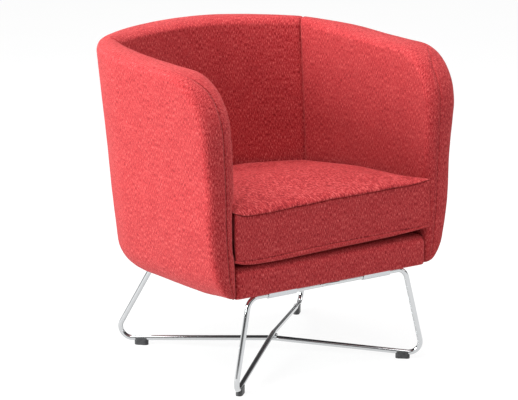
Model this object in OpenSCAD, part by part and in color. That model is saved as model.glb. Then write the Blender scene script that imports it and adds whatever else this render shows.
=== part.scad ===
// Club chair: a rounded tub of fabric over a wooden frame, a loose box cushion,
// and a base bent from two steel rods that cross near the floor.
// Millimetres. +Z is up, the chair looks along -Y, X is its width.
// The origin is on the floor, under the middle of the whole chair.

/* [Body outline] */
// Half of the width over the arms, at the height of the back's top edge
half_w = 358; // [350:1:366]
// Front of the arms, before the rounded nose
front_y = -306.5; // [-312:0.5:-300]
// Rear of the back, at its top edge
back_y = 328.5; // [322:0.5:334]
// How far the rear face bows out behind the corners
back_bow = 80; // [70:1:90]
// Reach of the rounded rear corner
corner_r = 121; // [112:1:130]
// Height of the back's edge, before the rounded rim
rear_h = 716; // [700:1:730]
// Height of the arms at the front, before the rounded rim
front_h = 690; // [676:1:700]
// Radius of the arm's upper front corner, seen from the side
nose_r = 118; // [104:1:130]
// Rise of the rounded rim over the edge
rim = 22; // [18:1:26]
// Fullness of the rim's section
rim_full = 2.6; // [2.2:0.1:3.2]
// Height of the lower edge at the front
bottom_z = 224; // [222:0.5:226]
// How much lower the lower edge is at the rear
bottom_drop = 19; // [16:0.5:22]
// How far the rounded lower edge turns in at the sides
side_round = 38; // [30:1:39]
// How far the rounded lower edge turns in at the back
back_round = 47; // [38:1:50]
// Height of the rounding of the lower edge
round_h = 54; // [46:1:55]
// Fullness of the rounding of the lower edge
round_full = 1.8; // [1.6:0.1:2.2]
// Swell of the padding low on the arms' outer faces, at the front
belly = 8; // [0:0.5:9]
// Swell of the padding low on the arms' outer faces, at the rear
belly_rear = 3; // [0:0.5:5]
// Height of the fullest part of the swell
belly_z = 364; // [345:1:385]
// How much the arms' upper edge sags between the front and the back
sag = 5; // [0:0.5:7]
// Inward slope of the sides, per unit of height
side_taper = 0.1; // [0.08:0.005:0.11]
// Inward slope of the back, per unit of height
back_taper = 0.07; // [0.05:0.005:0.09]

/* [Wall] */
// Thickness of the arm at its top
arm_t = 89; // [84:1:92]
// How much the arms turn in at the front
toe = -7.4; // [-9:0.1:-5]
// Inward slope of the inner arm faces, per unit of height
inner_taper = 0.016; // [0.01:0.002:0.024]
// Inner face of the back at its centre, at the top edge
inner_back_y = 240.5; // [236:0.5:244]
// Inner rear corner at the top edge
crease_y = 171; // [166:0.5:176]
// How much narrower the seat is at the inner rear corner than between the arms
crease_in = 15; // [12:1:18]
// Lean of the back's inner face at the centre, per unit of height
back_lean = 0.105; // [0.095:0.005:0.11]
// Lean of the inner rear corner, per unit of height
crease_lean = 0.112; // [0.1:0.004:0.12]
// Thickness of the fabric with its lining
fabric_t = 2; // [1.6:0.1:2.2]
// Thickness of the curved plywood panels
ply_t = 13.6; // [12:0.1:14]
// Place of the long seam on the arm fronts, from outer face 0 to inner face 1
seam_front = 0.62; // [0.55:0.01:0.7]
// Place of the long seam along the top of the tub
seam_top = 0.12; // [0.1:0.01:0.2]

/* [Base] */
// Diameter of the steel rod
rod_d = 12; // [10:0.5:12]
// Half of the front top bar, to the bend's corner
top_front_x = 212; // [205:1:216]
// Front top bar
top_front_y = -305.5; // [-307:0.5:-304]
// Height of the front top bar's axis
top_front_z = 220; // [219:0.5:220]
// Half of the rear top bar, to the bend's corner
top_rear_x = 210; // [205:1:215]
// Rear top bar
top_rear_y = 92.5; // [88:0.5:96]
// Front foot corner, sideways
foot_front_x = 259; // [252:1:264]
// Front foot corner, front to back
foot_front_y = -319.5; // [-323:0.5:-316]
// Rear foot corner, sideways
foot_rear_x = 273; // [266:1:280]
// Rear foot corner, front to back
foot_rear_y = 184.5; // [180:0.5:190]
// Height of the rod's axis at the foot corners
foot_z = 11.5; // [11:0.1:12.5]
// Where the two rods cross, front to back
cross_y = -87.5; // [-90:0.5:-85]
// Height of the lower rod's axis where they cross
cross_z = 35; // [33:0.5:38]
// Bend radius of the rod's axis
bend_r = 28; // [24:1:32]

/* [Seat frame and cushion] */
// Backward tilt of the seat, in degrees
tilt = 1.75; // [1.5:0.05:2]
// Height of the wooden seat rails
rail_h = 56; // [54:0.5:57]
// Thickness of the front rail
rail_t = 34; // [32:0.5:34]
// Half of the cushion's width at the front
cushion_w = 250; // [246:0.5:251]
// How far the cushion's front corners stand out beside the front
cushion_ear = 10.5; // [0:0.5:11]
// Front face of the cushion
cushion_front = -327.8; // [-328:0.1:-322]
// Droop of the cushion's front edge over the front rail
cushion_droop = 6; // [0:0.5:6.5]
// Rear face of the cushion
cushion_back = 179; // [172:0.5:180]
// Height of the cushion's side band, above its underside
band_top = 108; // [104:1:110]
// Fall of the cushion's top towards the back, per unit of depth
cushion_fall = 0.025; // [0.01:0.005:0.03]
// Rise of the crowned top above the side band
crown = 26; // [20:1:30]
// Share of that rise that is gone at the back
crown_loss = 0.8; // [0.6:0.05:0.9]

/* [Hidden] */
red = [0.72, 0.20, 0.22];
deep_red = [0.55, 0.13, 0.16];
wood = [0.78, 0.62, 0.42];
foam = [0.93, 0.90, 0.78];

// ---- outline of the tub -------------------------------------------------
// Plan: a shallow arc behind, a rounder arc at each rear corner, then a
// straight arm. Stations 0 to NS run from the middle of the back to the right
// arm's front; negative stations are their mirror images.
S1 = 6; S2 = 8; S3 = 3; S4 = 6;
NS = S1 + S2 + S3 + S4;
IC = 8;                       // station of the inner rear corner
xe = half_w - corner_r;
rho = (xe * xe + back_bow * back_bow) / (2 * back_bow);
ae = asin(xe / rho);
rr = corner_r / (1 - sin(ae));
cx = xe - rr * sin(ae);
cy = back_y - back_bow - rr * cos(ae);
kt = (rear_h - front_h) / (back_y - front_y);
yn = front_y + nose_r;        // where the nose begins
hn = front_h + kt * nose_r;

function clamp01(v) = min(1, max(0, v));
function mix(a, b, w) = a * (1 - w) + b * w;
function top_line(y) = let (u = clamp01((y - yn) / (back_y - yn)))
    front_h + kt * (y - front_y) - 4 * sag * u * (1 - u);
function arm_x(y) = y >= cy ? half_w : half_w + toe * pow((y - cy) / (front_y - cy), 2);
// A station for an edge inset d: [x, y, normal x, normal y, height of the edge]
function st_r(i, d) =
    i < S1 ? let (a = ae * i / S1, y = back_y - rho * (1 - cos(a)))
        [rho * sin(a), y, sin(a), cos(a), top_line(y) - d]
    : i <= S1 + S2 ? let (a = ae + (90 - ae) * (i - S1) / S2, y = cy + rr * cos(a))
        [cx + rr * sin(a), y, sin(a), cos(a), top_line(y) - d]
    : i < S1 + S2 + S3 ? let (y = mix(cy, yn, (i - S1 - S2) / S3))
        [arm_x(y), y, 1, 0, top_line(y) - d]
    : let (a = 90 * (i - S1 - S2 - S3) / S4, y = yn - (nose_r - d) * sin(a))
        [arm_x(y), y, 1, 0, hn - nose_r + (nose_r - d) * cos(a)];
function low_z(y) = bottom_z - bottom_drop * clamp01((y - front_y) / (back_y - front_y));
function round_of(s) = side_round * s[2] * s[2] + back_round * s[3] * s[3];
// Outer face at height z
function outer_r(s, z) = let (
        tp = side_taper * s[2] * s[2] + back_taper * s[3] * s[3], rb = round_of(s),
        e = clamp01((low_z(s[1]) + round_h - z) / round_h),
        off = tp * (rear_h - z) + rb * (1 - pow(1 - pow(e, round_full), 1 / round_full)))
    [s[0] - s[2] * off, s[1] - s[3] * off, z];
// Swell of the outer face; the padding takes it up, the plywood under it stays flat
function swell(s, z) = pow(s[2], 4) * mix(belly_rear, belly, clamp01((150 - s[1]) / 400))
    * pow(cos(90 * min(1, abs(z - belly_z) / 130)), 2);
// Inner face at height z
function pinch(z) = crease_in + 0.012 * (rear_h - z);
function crease_x(z) = half_w - arm_t - pinch(z) - inner_taper * (rear_h - z);
function crease_at(z) = crease_y - crease_lean * (rear_h - z);
function inner_y(x, z) = let (b = inner_back_y - back_lean * (rear_h - z))
    b - (b - crease_at(z)) * pow(x / crease_x(z), 2);
function inner_x(y, z) = half_w - arm_t - inner_taper * (rear_h - z)
    + (y < cy ? toe * pow((y - cy) / (front_y - cy), 2)
              : -pinch(z) * pow((y - cy) / (crease_at(z) - cy), 2));
function inner_r(i, s, z) =
    i <= IC ? let (x = crease_x(z) * i / IC) [x, inner_y(x, z), z]
    : let (y = i >= S1 + S2 ? s[1] : mix(crease_at(z), cy, (i - IC) / (S1 + S2 - IC)))
        [inner_x(y, z), y, z];
function flip(p, i) = i < 0 ? [-p[0], p[1], p[2]] : p;
// A point t inside the outer face, or t inside the inner face
function from_out(i, d, z, t) = let (s = st_r(abs(i), d), o = outer_r(s, z), n = inner_r(abs(i), s, z))
    flip(o + (n - o) * ((t - swell(s, z) * clamp01((p0 - t) / (p0 - 2.3))) / norm(n - o)), i);
function from_in(i, d, z, t) = let (s = st_r(abs(i), d), o = outer_r(s, z), n = inner_r(abs(i), s, z))
    flip(n + (o - n) * (t / norm(n - o)), i);
function edge_z(i, d) = st_r(abs(i), d)[4];
function sta_y(i, d) = st_r(abs(i), d)[1];
function deck_z(y) = 226.3 + rail_h + 1.3 - tan(tilt) * (y - top_front_y);
// Rows from the lower edge, through the rounding, to the top edge
function wall_row(i, d, j) = let (s = st_r(abs(i), d), z0 = low_z(s[1]))
    j <= 3 ? z0 + round_h * (1 - cos(30 * j)) : j == 4 ? belly_z + 4 : j == 5 ? s[4] - 29 : s[4];
NR = 6;
// Direction in which the rim rises at an edge station
function rim_dir(i) = let (a = 90 * max(0, abs(i) - S1 - S2 - S3) / S4) [0, -sin(a), cos(a)];
function bulge(w) = pow(max(0, 1 - pow(abs(2 * w - 1), rim_full)), 1 / rim_full);
// Steps across the rim: NM of them to the seam, NI more to the inner face
NM = 5; NI = 6;
function seam_at(i) = mix(seam_top, seam_front, clamp01((abs(i) - NS + 6.5) / 4));
function step_w(i, m) = let (th = acos(1 - 2 * seam_at(i))) (1 - cos(m <= NM ? th * m / NM : th + (180 - th) * (m - NM) / NI)) / 2;

// ---- closed solids from grids of points -----------------------------------
function quad(a, b, c, d) = [[a, b, c], [a, c, d]];
function flat1(l) = [for (a = l) for (b = a) b];
// A slab between two equal grids: A is its outer face, B its inner face
module slab(A, B, swap = false) {
    m = len(A); n = len(A[0]);
    function a(i, j) = i * n + j;
    function b(i, j) = m * n + i * n + j;
    faces = flat1([
        for (i = [0:m - 2]) for (j = [0:n - 2]) quad(a(i, j), a(i + 1, j), a(i + 1, j + 1), a(i, j + 1)),
        for (i = [0:m - 2]) for (j = [0:n - 2]) quad(b(i, j), b(i, j + 1), b(i + 1, j + 1), b(i + 1, j)),
        for (i = [0:m - 2]) quad(a(i + 1, 0), a(i, 0), b(i, 0), b(i + 1, 0)),
        for (i = [0:m - 2]) quad(a(i, n - 1), a(i + 1, n - 1), b(i + 1, n - 1), b(i, n - 1)),
        for (j = [0:n - 2]) quad(a(0, j), a(0, j + 1), b(0, j + 1), b(0, j)),
        for (j = [0:n - 2]) quad(a(m - 1, j), b(m - 1, j), b(m - 1, j + 1), a(m - 1, j + 1))
    ]);
    polyhedron(points = concat(flat1(A), flat1(B)),
        faces = swap ? [for (f = faces) [f[2], f[1], f[0]]] : faces);
}
// A solid from a stack of closed rings, closed by a fan at both ends
module ring_stack(R, swap = false) {
    m = len(R); n = len(R[0]);
    function mean(r) = [for (k = [0:2]) let (v = [for (p = r) p[k]]) v * [for (p = r) 1] / n];
    function a(i, j) = i * n + (j % n);
    faces = concat(
        flat1([for (i = [0:m - 2]) for (j = [0:n - 1]) quad(a(i, j), a(i + 1, j), a(i + 1, j + 1), a(i, j + 1))]),
        [for (j = [0:n - 1]) [m * n, a(0, j), a(0, j + 1)]],
        [for (j = [0:n - 1]) [m * n + 1, a(m - 1, j + 1), a(m - 1, j)]]);
    polyhedron(points = concat(flat1(R), [mean(R[0]), mean(R[m - 1])]),
        faces = swap ? [for (f = faces) [f[2], f[1], f[0]]] : faces);
}
// A closed band between outer rings A and inner rings B
module ring_tube(A, B) {
    m = len(A); n = len(A[0]);
    function a(i, j) = i * n + (j % n);
    function b(i, j) = m * n + i * n + (j % n);
    polyhedron(points = concat(flat1(A), flat1(B)), faces = flat1([
        for (i = [0:m - 2]) for (j = [0:n - 1]) quad(a(i, j), a(i + 1, j), a(i + 1, j + 1), a(i, j + 1)),
        for (i = [0:m - 2]) for (j = [0:n - 1]) quad(b(i, j), b(i, j + 1), b(i + 1, j + 1), b(i + 1, j)),
        for (j = [0:n - 1]) quad(a(0, j), a(0, j + 1), b(0, j + 1), b(0, j)),
        for (j = [0:n - 1]) quad(a(m - 1, j + 1), a(m - 1, j), b(m - 1, j), b(m - 1, j + 1))
    ]));
}
// A part of the wall between two depths, over a list of stations
module wall_part(list, d, rows, outer, inner) {
    slab([for (i = list) [for (z = rows(i, d)) outer(i, d, z)]],
        [for (i = list) [for (z = rows(i, d)) inner(i, d, z)]]);
}
LEFT = concat([for (i = [-NS:-IC - 1]) i], [-IC - 0.01]);
RIGHT = concat([IC + 0.01], [for (i = [IC + 1:NS]) i]);
BACK = concat([-IC + 0.01], [for (i = [-IC + 1:IC - 1]) i], [IC - 0.01]);
// A fabric sheet that covers one face of the wall over stations i0 to i1, and
// turns over the rim and round the nose as far as the long seam.
// face(i, j, t) is a point on the face and over(i, j, m, t) one on the rim,
// both t inside the outermost surface.
module cover(i0, i1, left, right, nm, face, over, swap = false) {
    cols = i1 - i0 + 1;
    kl = left ? NR : 0; kr = right ? NR : 0;
    kk = kl + cols + kr;
    function at(k) = k < kl ? [i0, k] : k < kl + cols ? [i0 + k - kl, NR] : [i1, NR - 1 - (k - kl - cols)];
    g = cols * (NR + 1);
    half = g + kk * nm;
    function f(s, i, j) = s * half + (i - i0) * (NR + 1) + j;
    function c(s, k, m) = m == 0 ? f(s, at(k)[0], at(k)[1]) : s * half + g + k * nm + m - 1;
    pts = [for (t = [0, fabric_t]) each concat(
        [for (i = [i0:i1]) for (j = [0:NR]) face(i, j, t)],
        [for (k = [0:kk - 1]) for (m = [1:nm]) over(at(k)[0], at(k)[1], m, t)])];
    faces = flat1([
        for (i = [i0:i1 - 1]) for (j = [0:NR - 1]) quad(f(0, i, j), f(0, i + 1, j), f(0, i + 1, j + 1), f(0, i, j + 1)),
        for (i = [i0:i1 - 1]) for (j = [0:NR - 1]) quad(f(1, i, j), f(1, i, j + 1), f(1, i + 1, j + 1), f(1, i + 1, j)),
        for (k = [0:kk - 2]) for (m = [0:nm - 1]) quad(c(0, k, m), c(0, k + 1, m), c(0, k + 1, m + 1), c(0, k, m + 1)),
        for (k = [0:kk - 2]) for (m = [0:nm - 1]) quad(c(1, k, m), c(1, k, m + 1), c(1, k + 1, m + 1), c(1, k + 1, m)),
        for (k = [0:kk - 2]) quad(c(0, k, nm), c(0, k + 1, nm), c(1, k + 1, nm), c(1, k, nm)),
        for (i = [i0:i1 - 1]) quad(f(0, i + 1, 0), f(0, i, 0), f(1, i, 0), f(1, i + 1, 0)),
        for (m = [0:nm - 1]) quad(c(0, 0, m), c(0, 0, m + 1), c(1, 0, m + 1), c(1, 0, m)),
        for (m = [0:nm - 1]) quad(c(0, kk - 1, m + 1), c(0, kk - 1, m), c(1, kk - 1, m), c(1, kk - 1, m + 1)),
        if (!left) for (j = [0:NR - 1]) quad(f(0, i0, j), f(0, i0, j + 1), f(1, i0, j + 1), f(1, i0, j)),
        if (!right) for (j = [0:NR - 1]) quad(f(0, i1, j + 1), f(0, i1, j), f(1, i1, j), f(1, i1, j + 1))
    ]);
    polyhedron(points = pts, faces = swap ? [for (q = faces) [q[2], q[1], q[0]]] : faces);
}

// ---- base -----------------------------------------------------------------
// One rod: half of the front top bar, a front leg, a diagonal along the floor,
// a rear leg and half of the rear top bar.
top_rear_z = top_front_z - tan(tilt) * (top_rear_y - top_front_y);
function rod_path(zc) = [[0.03, top_front_y, top_front_z], [top_front_x, top_front_y, top_front_z],
    [foot_front_x, foot_front_y, foot_z], [0, cross_y, zc], [-foot_rear_x, foot_rear_y, foot_z],
    [-top_rear_x, top_rear_y, top_rear_z], [-0.03, top_rear_y, top_rear_z]];
function unit(v) = v / norm(v);
function turn(p, k) = let (a = unit(p[k] - p[k - 1]), b = unit(p[k + 1] - p[k])) acos(min(1, a * b));
function reach(p, k) = (k == 0 || k == len(p) - 1) ? 0 : (k == 3 ? 90 : bend_r) * tan(turn(p, k) / 2);
module at_frame(o, x, y, z) {
    multmatrix([[x[0], y[0], z[0], o[0]], [x[1], y[1], z[1], o[1]], [x[2], y[2], z[2], o[2]], [0, 0, 0, 1]])
        children();
}
module bent_rod(p) {
    for (k = [0:len(p) - 2]) {
        d = unit(p[k + 1] - p[k]);
        a = p[k] + d * (reach(p, k) - (k == 0 ? 0 : 0.3));
        b = p[k + 1] - d * (reach(p, k + 1) - (k == len(p) - 2 ? 0 : 0.3));
        s = unit(cross(d, abs(d[2]) > 0.9 ? [1, 0, 0] : [0, 0, 1]));
        at_frame(a, s, cross(d, s), d) cylinder(r = rod_d / 2, h = norm(b - a), $fn = 32);
    }
    for (k = [1:len(p) - 2]) {
        d1 = unit(p[k] - p[k - 1]); d2 = unit(p[k + 1] - p[k]);
        r = k == 3 ? 90 : bend_r;
        c = p[k] + unit(d2 - d1) * (r / cos(turn(p, k) / 2));
        s = p[k] - d1 * reach(p, k);
        x = unit(s - c);
        at_frame(c, x, d1, cross(x, d1))
            rotate_extrude(angle = turn(p, k), $fn = 48) translate([r, 0]) circle(r = rod_d / 2 + 0.03, $fn = 32);
    }
}
module base_rod_lower() { color("silver") bent_rod(rod_path(cross_z)); }
module base_rod_upper() { color("silver") bent_rod([for (p = rod_path(cross_z + rod_d + 0.1)) [-p[0], p[1], p[2]]]); }
// Weld beads in the four corners where the rods cross
module frame_welds() {
    color("silver") for (c = [[1, 0], [-1, 0], [0, 1], [0, -1]])
        translate([8.2 * c[0], cross_y + 8.2 * c[1], cross_z + rod_d / 2]) sphere(r = 3.4, $fn = 32);
}
// The seat's own plane, tilted back about the front top bar
module seat_plane() {
    translate([0, top_front_y, 226.3]) rotate([-tilt, 0, 0]) translate([0, -top_front_y, 0]) children();
}
clamp_x = 128; clamp_l = 74; bolt_dx = 24; bolt_dy = 14;
front_bar_local = top_front_y + 6.3 * sin(tilt);
rear_bar_local = front_bar_local + (top_rear_y - top_front_y) / cos(tilt);
module each_clamp() {
    for (y = [front_bar_local, rear_bar_local]) for (x = [-clamp_x, clamp_x]) translate([x, y, 0]) children();
}
module each_bolt() { each_clamp() for (x = [-bolt_dx, bolt_dx]) translate([x, bolt_dy, 0]) children(); }
// Pressed saddle under a top bar, with one bolted ear
module base_clamps() {
    color("gainsboro") seat_plane() each_clamp() difference() {
        translate([clamp_l / 2, 0, 0]) rotate([0, -90, 0]) linear_extrude(height = clamp_l) difference() {
            union() {
                translate([-rod_d / 2 - 0.3, 0]) circle(r = rod_d / 2 + 2.2, $fn = 64);
                translate([-rod_d / 2 - 0.3, -rod_d / 2 - 2.2]) square([4.3, rod_d + 4.4]);
                translate([-2.3, 0]) square([2, 21]);
            }
            translate([-rod_d / 2 - 0.3, 0]) circle(r = rod_d / 2 + 0.15, $fn = 64);
            translate([-rod_d / 2 - 0.3, -rod_d / 2 - 0.15]) square([20, rod_d + 0.3]);
            translate([-0.3, -20]) square([20, 60]);
        }
        for (x = [-bolt_dx, bolt_dx]) translate([x, bolt_dy, -6]) cylinder(r = 2.7, h = 12, $fn = 32);
    }
}
module clamp_bolts() {
    color("dimgray") seat_plane() each_bolt() {
        translate([0, 0, -5.6]) difference() {
            cylinder(r = 4.6, h = 3.2, $fn = 48);
            translate([0, 0, -1]) cylinder(r = 1.6, h = 2.8, $fn = 6);
        }
        translate([0, 0, -2.41]) cylinder(r = 2.5, h = 28, $fn = 32);
    }
}
module threaded_inserts() {
    color("goldenrod") seat_plane() each_bolt() translate([0, 0, 1.4]) difference() {
        cylinder(r = 4, h = 14, $fn = 32);
        translate([0, 0, -1]) cylinder(r = 2.58, h = 16, $fn = 32);
    }
}
// Glides: plastic shoes clipped under the floor diagonals
module glide_at(p, q, f) {
    c = mix(p, q, f);
    v = unit([q[0] - p[0], q[1] - p[1], 0]);
    d = unit(q - p);
    s = unit(cross(d, [0, 0, 1]));
    difference() {
        translate([c[0], c[1], 0]) rotate([0, 0, atan2(v[1], v[0])]) {
            translate([-9, -7.6, 0]) cube([18, 15.2, c[2] + 1.5]);
            for (e = [-1, 1]) translate([e * 9, 0, 0]) cylinder(r = 7.6, h = c[2] + 1.5, $fn = 48);
        }
        at_frame(c - d * 40, s, cross(d, s), d) cylinder(r = rod_d / 2 + 0.05, h = 80, $fn = 48);
    }
}
module floor_glides() {
    lo = rod_path(cross_z); up = rod_path(cross_z + rod_d + 0.1);
    color([0.08, 0.08, 0.09]) {
        glide_at(lo[2], lo[3], 0.135);
        glide_at(lo[4], lo[3], 0.183);
        mirror([1, 0, 0]) glide_at(up[2], up[3], 0.135);
        mirror([1, 0, 0]) glide_at(up[4], up[3], 0.183);
    }
}

// ---- seat frame -------------------------------------------------------------
rail_z = 1.3;
module insert_holes(list_y) {
    for (y = list_y) for (x = [-clamp_x, clamp_x]) for (dx = [-bolt_dx, bolt_dx])
        translate([x + dx, y + bolt_dy, 0]) cylinder(r = 4.05, h = 30, $fn = 32);
}
module seat_front_rail() {
    color(wood) seat_plane() difference() {
        translate([-251, -319, rail_z]) cube([502, rail_t, rail_h]);
        insert_holes([front_bar_local]);
    }
}
module seat_cross_rail() {
    color(wood) seat_plane() difference() {
        translate([-245.8, rear_bar_local - 12, rail_z]) cube([491.6, 40, 30]);
        insert_holes([rear_bar_local]);
    }
}
function side_rows(i, d) = let (s = st_r(abs(i), 0), z0 = low_z(s[1]), zt = deck_z(s[1]) - 1.3)
    [z0 + 5.6, z0 + round_h * 0.35, min(z0 + round_h + 1.8, zt - 1.5), zt];
module side_rail(list) {
    wall_part(list, 0, function (i, d) side_rows(i, d),
        function (i, d, z) from_out(i, d, z, z > low_z(sta_y(i, 0)) + round_h ? 24.2 : 15 + 9.2 * clamp01((z - low_z(sta_y(i, 0)) - 3.2) / 15.7)),
        function (i, d, z) [246 * sign(i), from_out(i, d, z, 30)[1], z]);
}
module seat_left_rail() { color(wood) side_rail([for (i = [-20:-9]) i]); }
module seat_right_rail() { color(wood) side_rail([for (i = [9:20]) i]); }
// Curved rail under the back, laminated to the tub's plan
module seat_rear_rail() {
    color(wood) wall_part(concat([-8.25], [for (i = [-8:8]) i], [8.25]), 0,
        function (i, d) let (y = sta_y(i, 0), z0 = low_z(y)) [z0 + 15, z0 + 26, min(z0 + round_h + 1.8, deck_z(y) - 2.8), deck_z(y) - 1.3],
        function (i, d, z) from_out(i, d, z, 24.5), function (i, d, z) from_out(i, d, z, (abs(i) > 8 ? 37 : abs(i) > 7 ? 46 : 54) - 7 * clamp01((low_z(sta_y(i, 0)) + 44 - z) / 29)));
}
// Glued and screwed blocks in the corners of the seat frame
module corner_blocks() {
    color([0.70, 0.54, 0.36]) seat_plane() for (m = [0, 1]) mirror([m, 0, 0]) {
        translate([0, 0, rail_z + 4]) linear_extrude(height = 42) polygon([[245.9, -284.9], [245.9, -240], [232, -240], [200, -272], [200, -284.9]]);
        translate([0, 0, 32]) linear_extrude(height = 18) polygon([[245.9, 40], [245.9, 116], [180, 116], [180, 106]]);
    }
}
// Jute webbing: four strands each way, tacked on top of the rails
strand = 50;
module webbing_lengthwise() {
    color([0.62, 0.50, 0.34]) seat_plane() for (x = [-180, -60, 60, 180])
        translate([x - strand / 2, -312, rail_z + rail_h + 0.2]) cube([strand, 312 + (abs(x) > 100 ? 184 : 246), 1.4]);
}
module webbing_crosswise() {
    color([0.66, 0.54, 0.38]) seat_plane() for (y = [-215, -115, -15, 85])
        let (x = y > 0 ? 256 : 272) translate([-x, y - strand / 2, rail_z + rail_h + 1.8]) cube([2 * x, strand, 1.4]);
}
module staple(z) { translate([-5, -0.6, z]) cube([10, 1.2, 1]); for (s = [-5, 3.8]) translate([s, -0.6, z - 8]) cube([1.2, 1.2, 8.5]); }
module webbing_staples() {
    color("lightsteelblue") seat_plane() for (x = [-180, -60, 60, 180]) for (dx = [-14, 14])
        translate([x + dx, -304, 0]) staple(rail_z + rail_h + 1.7);
}
// Thin foam pad and platform cloth on the webbing
deck_top = rail_z + rail_h + 21.2;
function deck_plan(g) = concat([[-251 + g, -268], [251 - g, -268], [251 - g, 55], [244 - g, 98]],
    [for (k = [0:12]) let (x = mix(236 - g, g - 236, k / 12)) [x, inner_y(x, 290) - 9 - g]], [[-244 + g, 98], [-251 + g, 55]]);
module deck_foam() {
    color(foam) seat_plane() translate([0, 0, rail_z + rail_h + 3.4]) linear_extrude(height = 15.8) polygon(deck_plan(0));
}
module deck_cloth() {
    color([0.30, 0.10, 0.12]) seat_plane() translate([0, 0, deck_top - 1.8]) linear_extrude(height = 1.45) polygon(deck_plan(1));
}

// ---- arms and back ------------------------------------------------------------
EDGE = 30;                    // depth of the edge roll
p0 = 10.4; p1 = p0 + ply_t;   // plywood, measured in from the outer face
function ply_rows(i, d) = let (s = st_r(abs(i), d), z0 = low_z(s[1]), z1 = z0 + round_h)
    [z0 + round_h * 0.5, z1, mix(z1, s[4], 0.5), s[4] - 0.4];
function foam_rows(i, d) = let (s = st_r(abs(i), d), z0 = deck_z(s[1]) + 6) [z0, mix(z0, s[4], 0.5), s[4] - 0.4];
module ply(list) {
    wall_part(list, EDGE, function (i, d) ply_rows(i, d),
        function (i, d, z) from_out(i, d, z, p0), function (i, d, z) from_out(i, d, z, p1));
}
module left_arm_panel() { color(wood) ply(LEFT); }
module right_arm_panel() { color(wood) ply(RIGHT); }
module back_panel() { color(wood) ply(BACK); }
// Upright posts that join the arm panels to the back panel
module corner_posts() {
    color(wood) for (l = [[-IC - 1, -IC, -IC + 1], [IC - 1, IC, IC + 1]]) wall_part(l, EDGE,
        function (i, d) [for (k = [1:3]) max(ply_rows(i, d)[k], deck_z(sta_y(i, d)) + 0.5)],
        function (i, d, z) from_out(i, d, z, p1 + 0.1), function (i, d, z) from_out(i, d, z, p1 + 9));
}
module pad(list) {
    wall_part(list, EDGE, function (i, d) foam_rows(i, d),
        function (i, d, z) from_out(i, d, z, abs(i) >= IC - 1 && abs(i) <= IC + 1 ? p1 + 9.4 : p1 + 0.4),
        function (i, d, z) from_in(i, d, z, fabric_t + 1));
}
module left_arm_foam() { color(foam) pad(LEFT); }
module right_arm_foam() { color(foam) pad(RIGHT); }
module back_foam() { color(foam) pad(BACK); }
module wadding(list) {
    wall_part(list, EDGE, function (i, d) [for (j = [1:NR]) wall_row(i, d, j) - (j == NR ? 0.4 : 0)],
        function (i, d, z) from_out(i, d, z, fabric_t + 0.4), function (i, d, z) from_out(i, d, z, p0 - 0.4));
}
module left_arm_wadding() { color("whitesmoke") wadding(LEFT); }
module right_arm_wadding() { color("whitesmoke") wadding(RIGHT); }
module back_wadding() { color("whitesmoke") wadding(BACK); }
// Foam roll round the whole edge, from one arm's foot over the back to the other
function edge_at(k) = k < NR ? [-NS, k] : k <= NR + 2 * NS ? [k - NR - NS, NR] : [NS, NR - (k - NR - 2 * NS)];
module edge_roll() {
    g = fabric_t + 0.7;
    function z_at(k, d) = let (e = edge_at(k)) wall_row(e[0], d, e[1]);
    rings = [for (k = [0:2 * NR + 2 * NS]) let (i = edge_at(k)[0], dir = edge_at(k)[1] == NR ? rim_dir(i) : [0, -1, 0],
            o = from_out(i, 0, z_at(k, 0), g), n = from_in(i, 0, z_at(k, 0), g))
        concat([from_out(i, EDGE - 0.4, z_at(k, EDGE - 0.4), g)],
            [for (m = [0:NM + NI]) let (w = step_w(i, m)) mix(o, n, w) + dir * ((rim - g) * bulge(w))],
            [from_in(i, EDGE - 0.4, z_at(k, EDGE - 0.4), g)])];
    color(foam) ring_stack(rings);
}
// Covers. The outer one runs over the rim to the long seam, the inner ones meet it there.
function over_pt(i, j, w, t) = let (z = wall_row(i, 0, j), dir = j == NR ? rim_dir(i) : [0, -1, 0])
    mix(from_out(i, 0, z, t), from_in(i, 0, z, t), w) + dir * ((rim - t) * bulge(w));
module outer_cover() {
    color(red) cover(-NS, NS, true, true, NM,
        function (i, j, t) from_out(i, 0, wall_row(i, 0, j), t),
        function (i, j, m, t) over_pt(i, j, step_w(i, m), t));
}
// The inner covers stop at the deck, except at the arm's front
function inner_row(i, j) = let (s = st_r(abs(i), 0),
        z0 = abs(i) >= NS - 2 ? low_z(s[1]) : deck_z(inner_r(abs(i), s, 290)[1]) + 4)
    abs(i) == NS ? wall_row(i, 0, j) : j == NR ? s[4] : mix(z0, s[4] - 29, j / (NR - 1));
function inner_w(i, m) = m < NI ? step_w(i, NM + NI - m) : seam_at(i) + 0.004;
function near(i, a, b) = a == -IC ? max(a + 0.01, min(b - 0.01, i)) : i == a && a > 0 ? i + 0.01 : i == b && b < 0 ? i - 0.01 : i;
module inner_cover(i0, i1, left, right) {
    cover(i0, i1, left, right, NI,
        function (i, j, t) let (q = near(i, i0, i1)) from_in(q, 0, inner_row(q, j), t),
        function (i, j, m, t) let (q = near(i, i0, i1)) over_pt(q, j, inner_w(i, m), t), true);
}
module inner_left_cover() { color(red) inner_cover(-NS, -IC, true, false); }
module inner_right_cover() { color(red) inner_cover(IC, NS, false, true); }
module inner_back_cover() { color(red) inner_cover(-IC, IC, false, false); }

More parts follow.
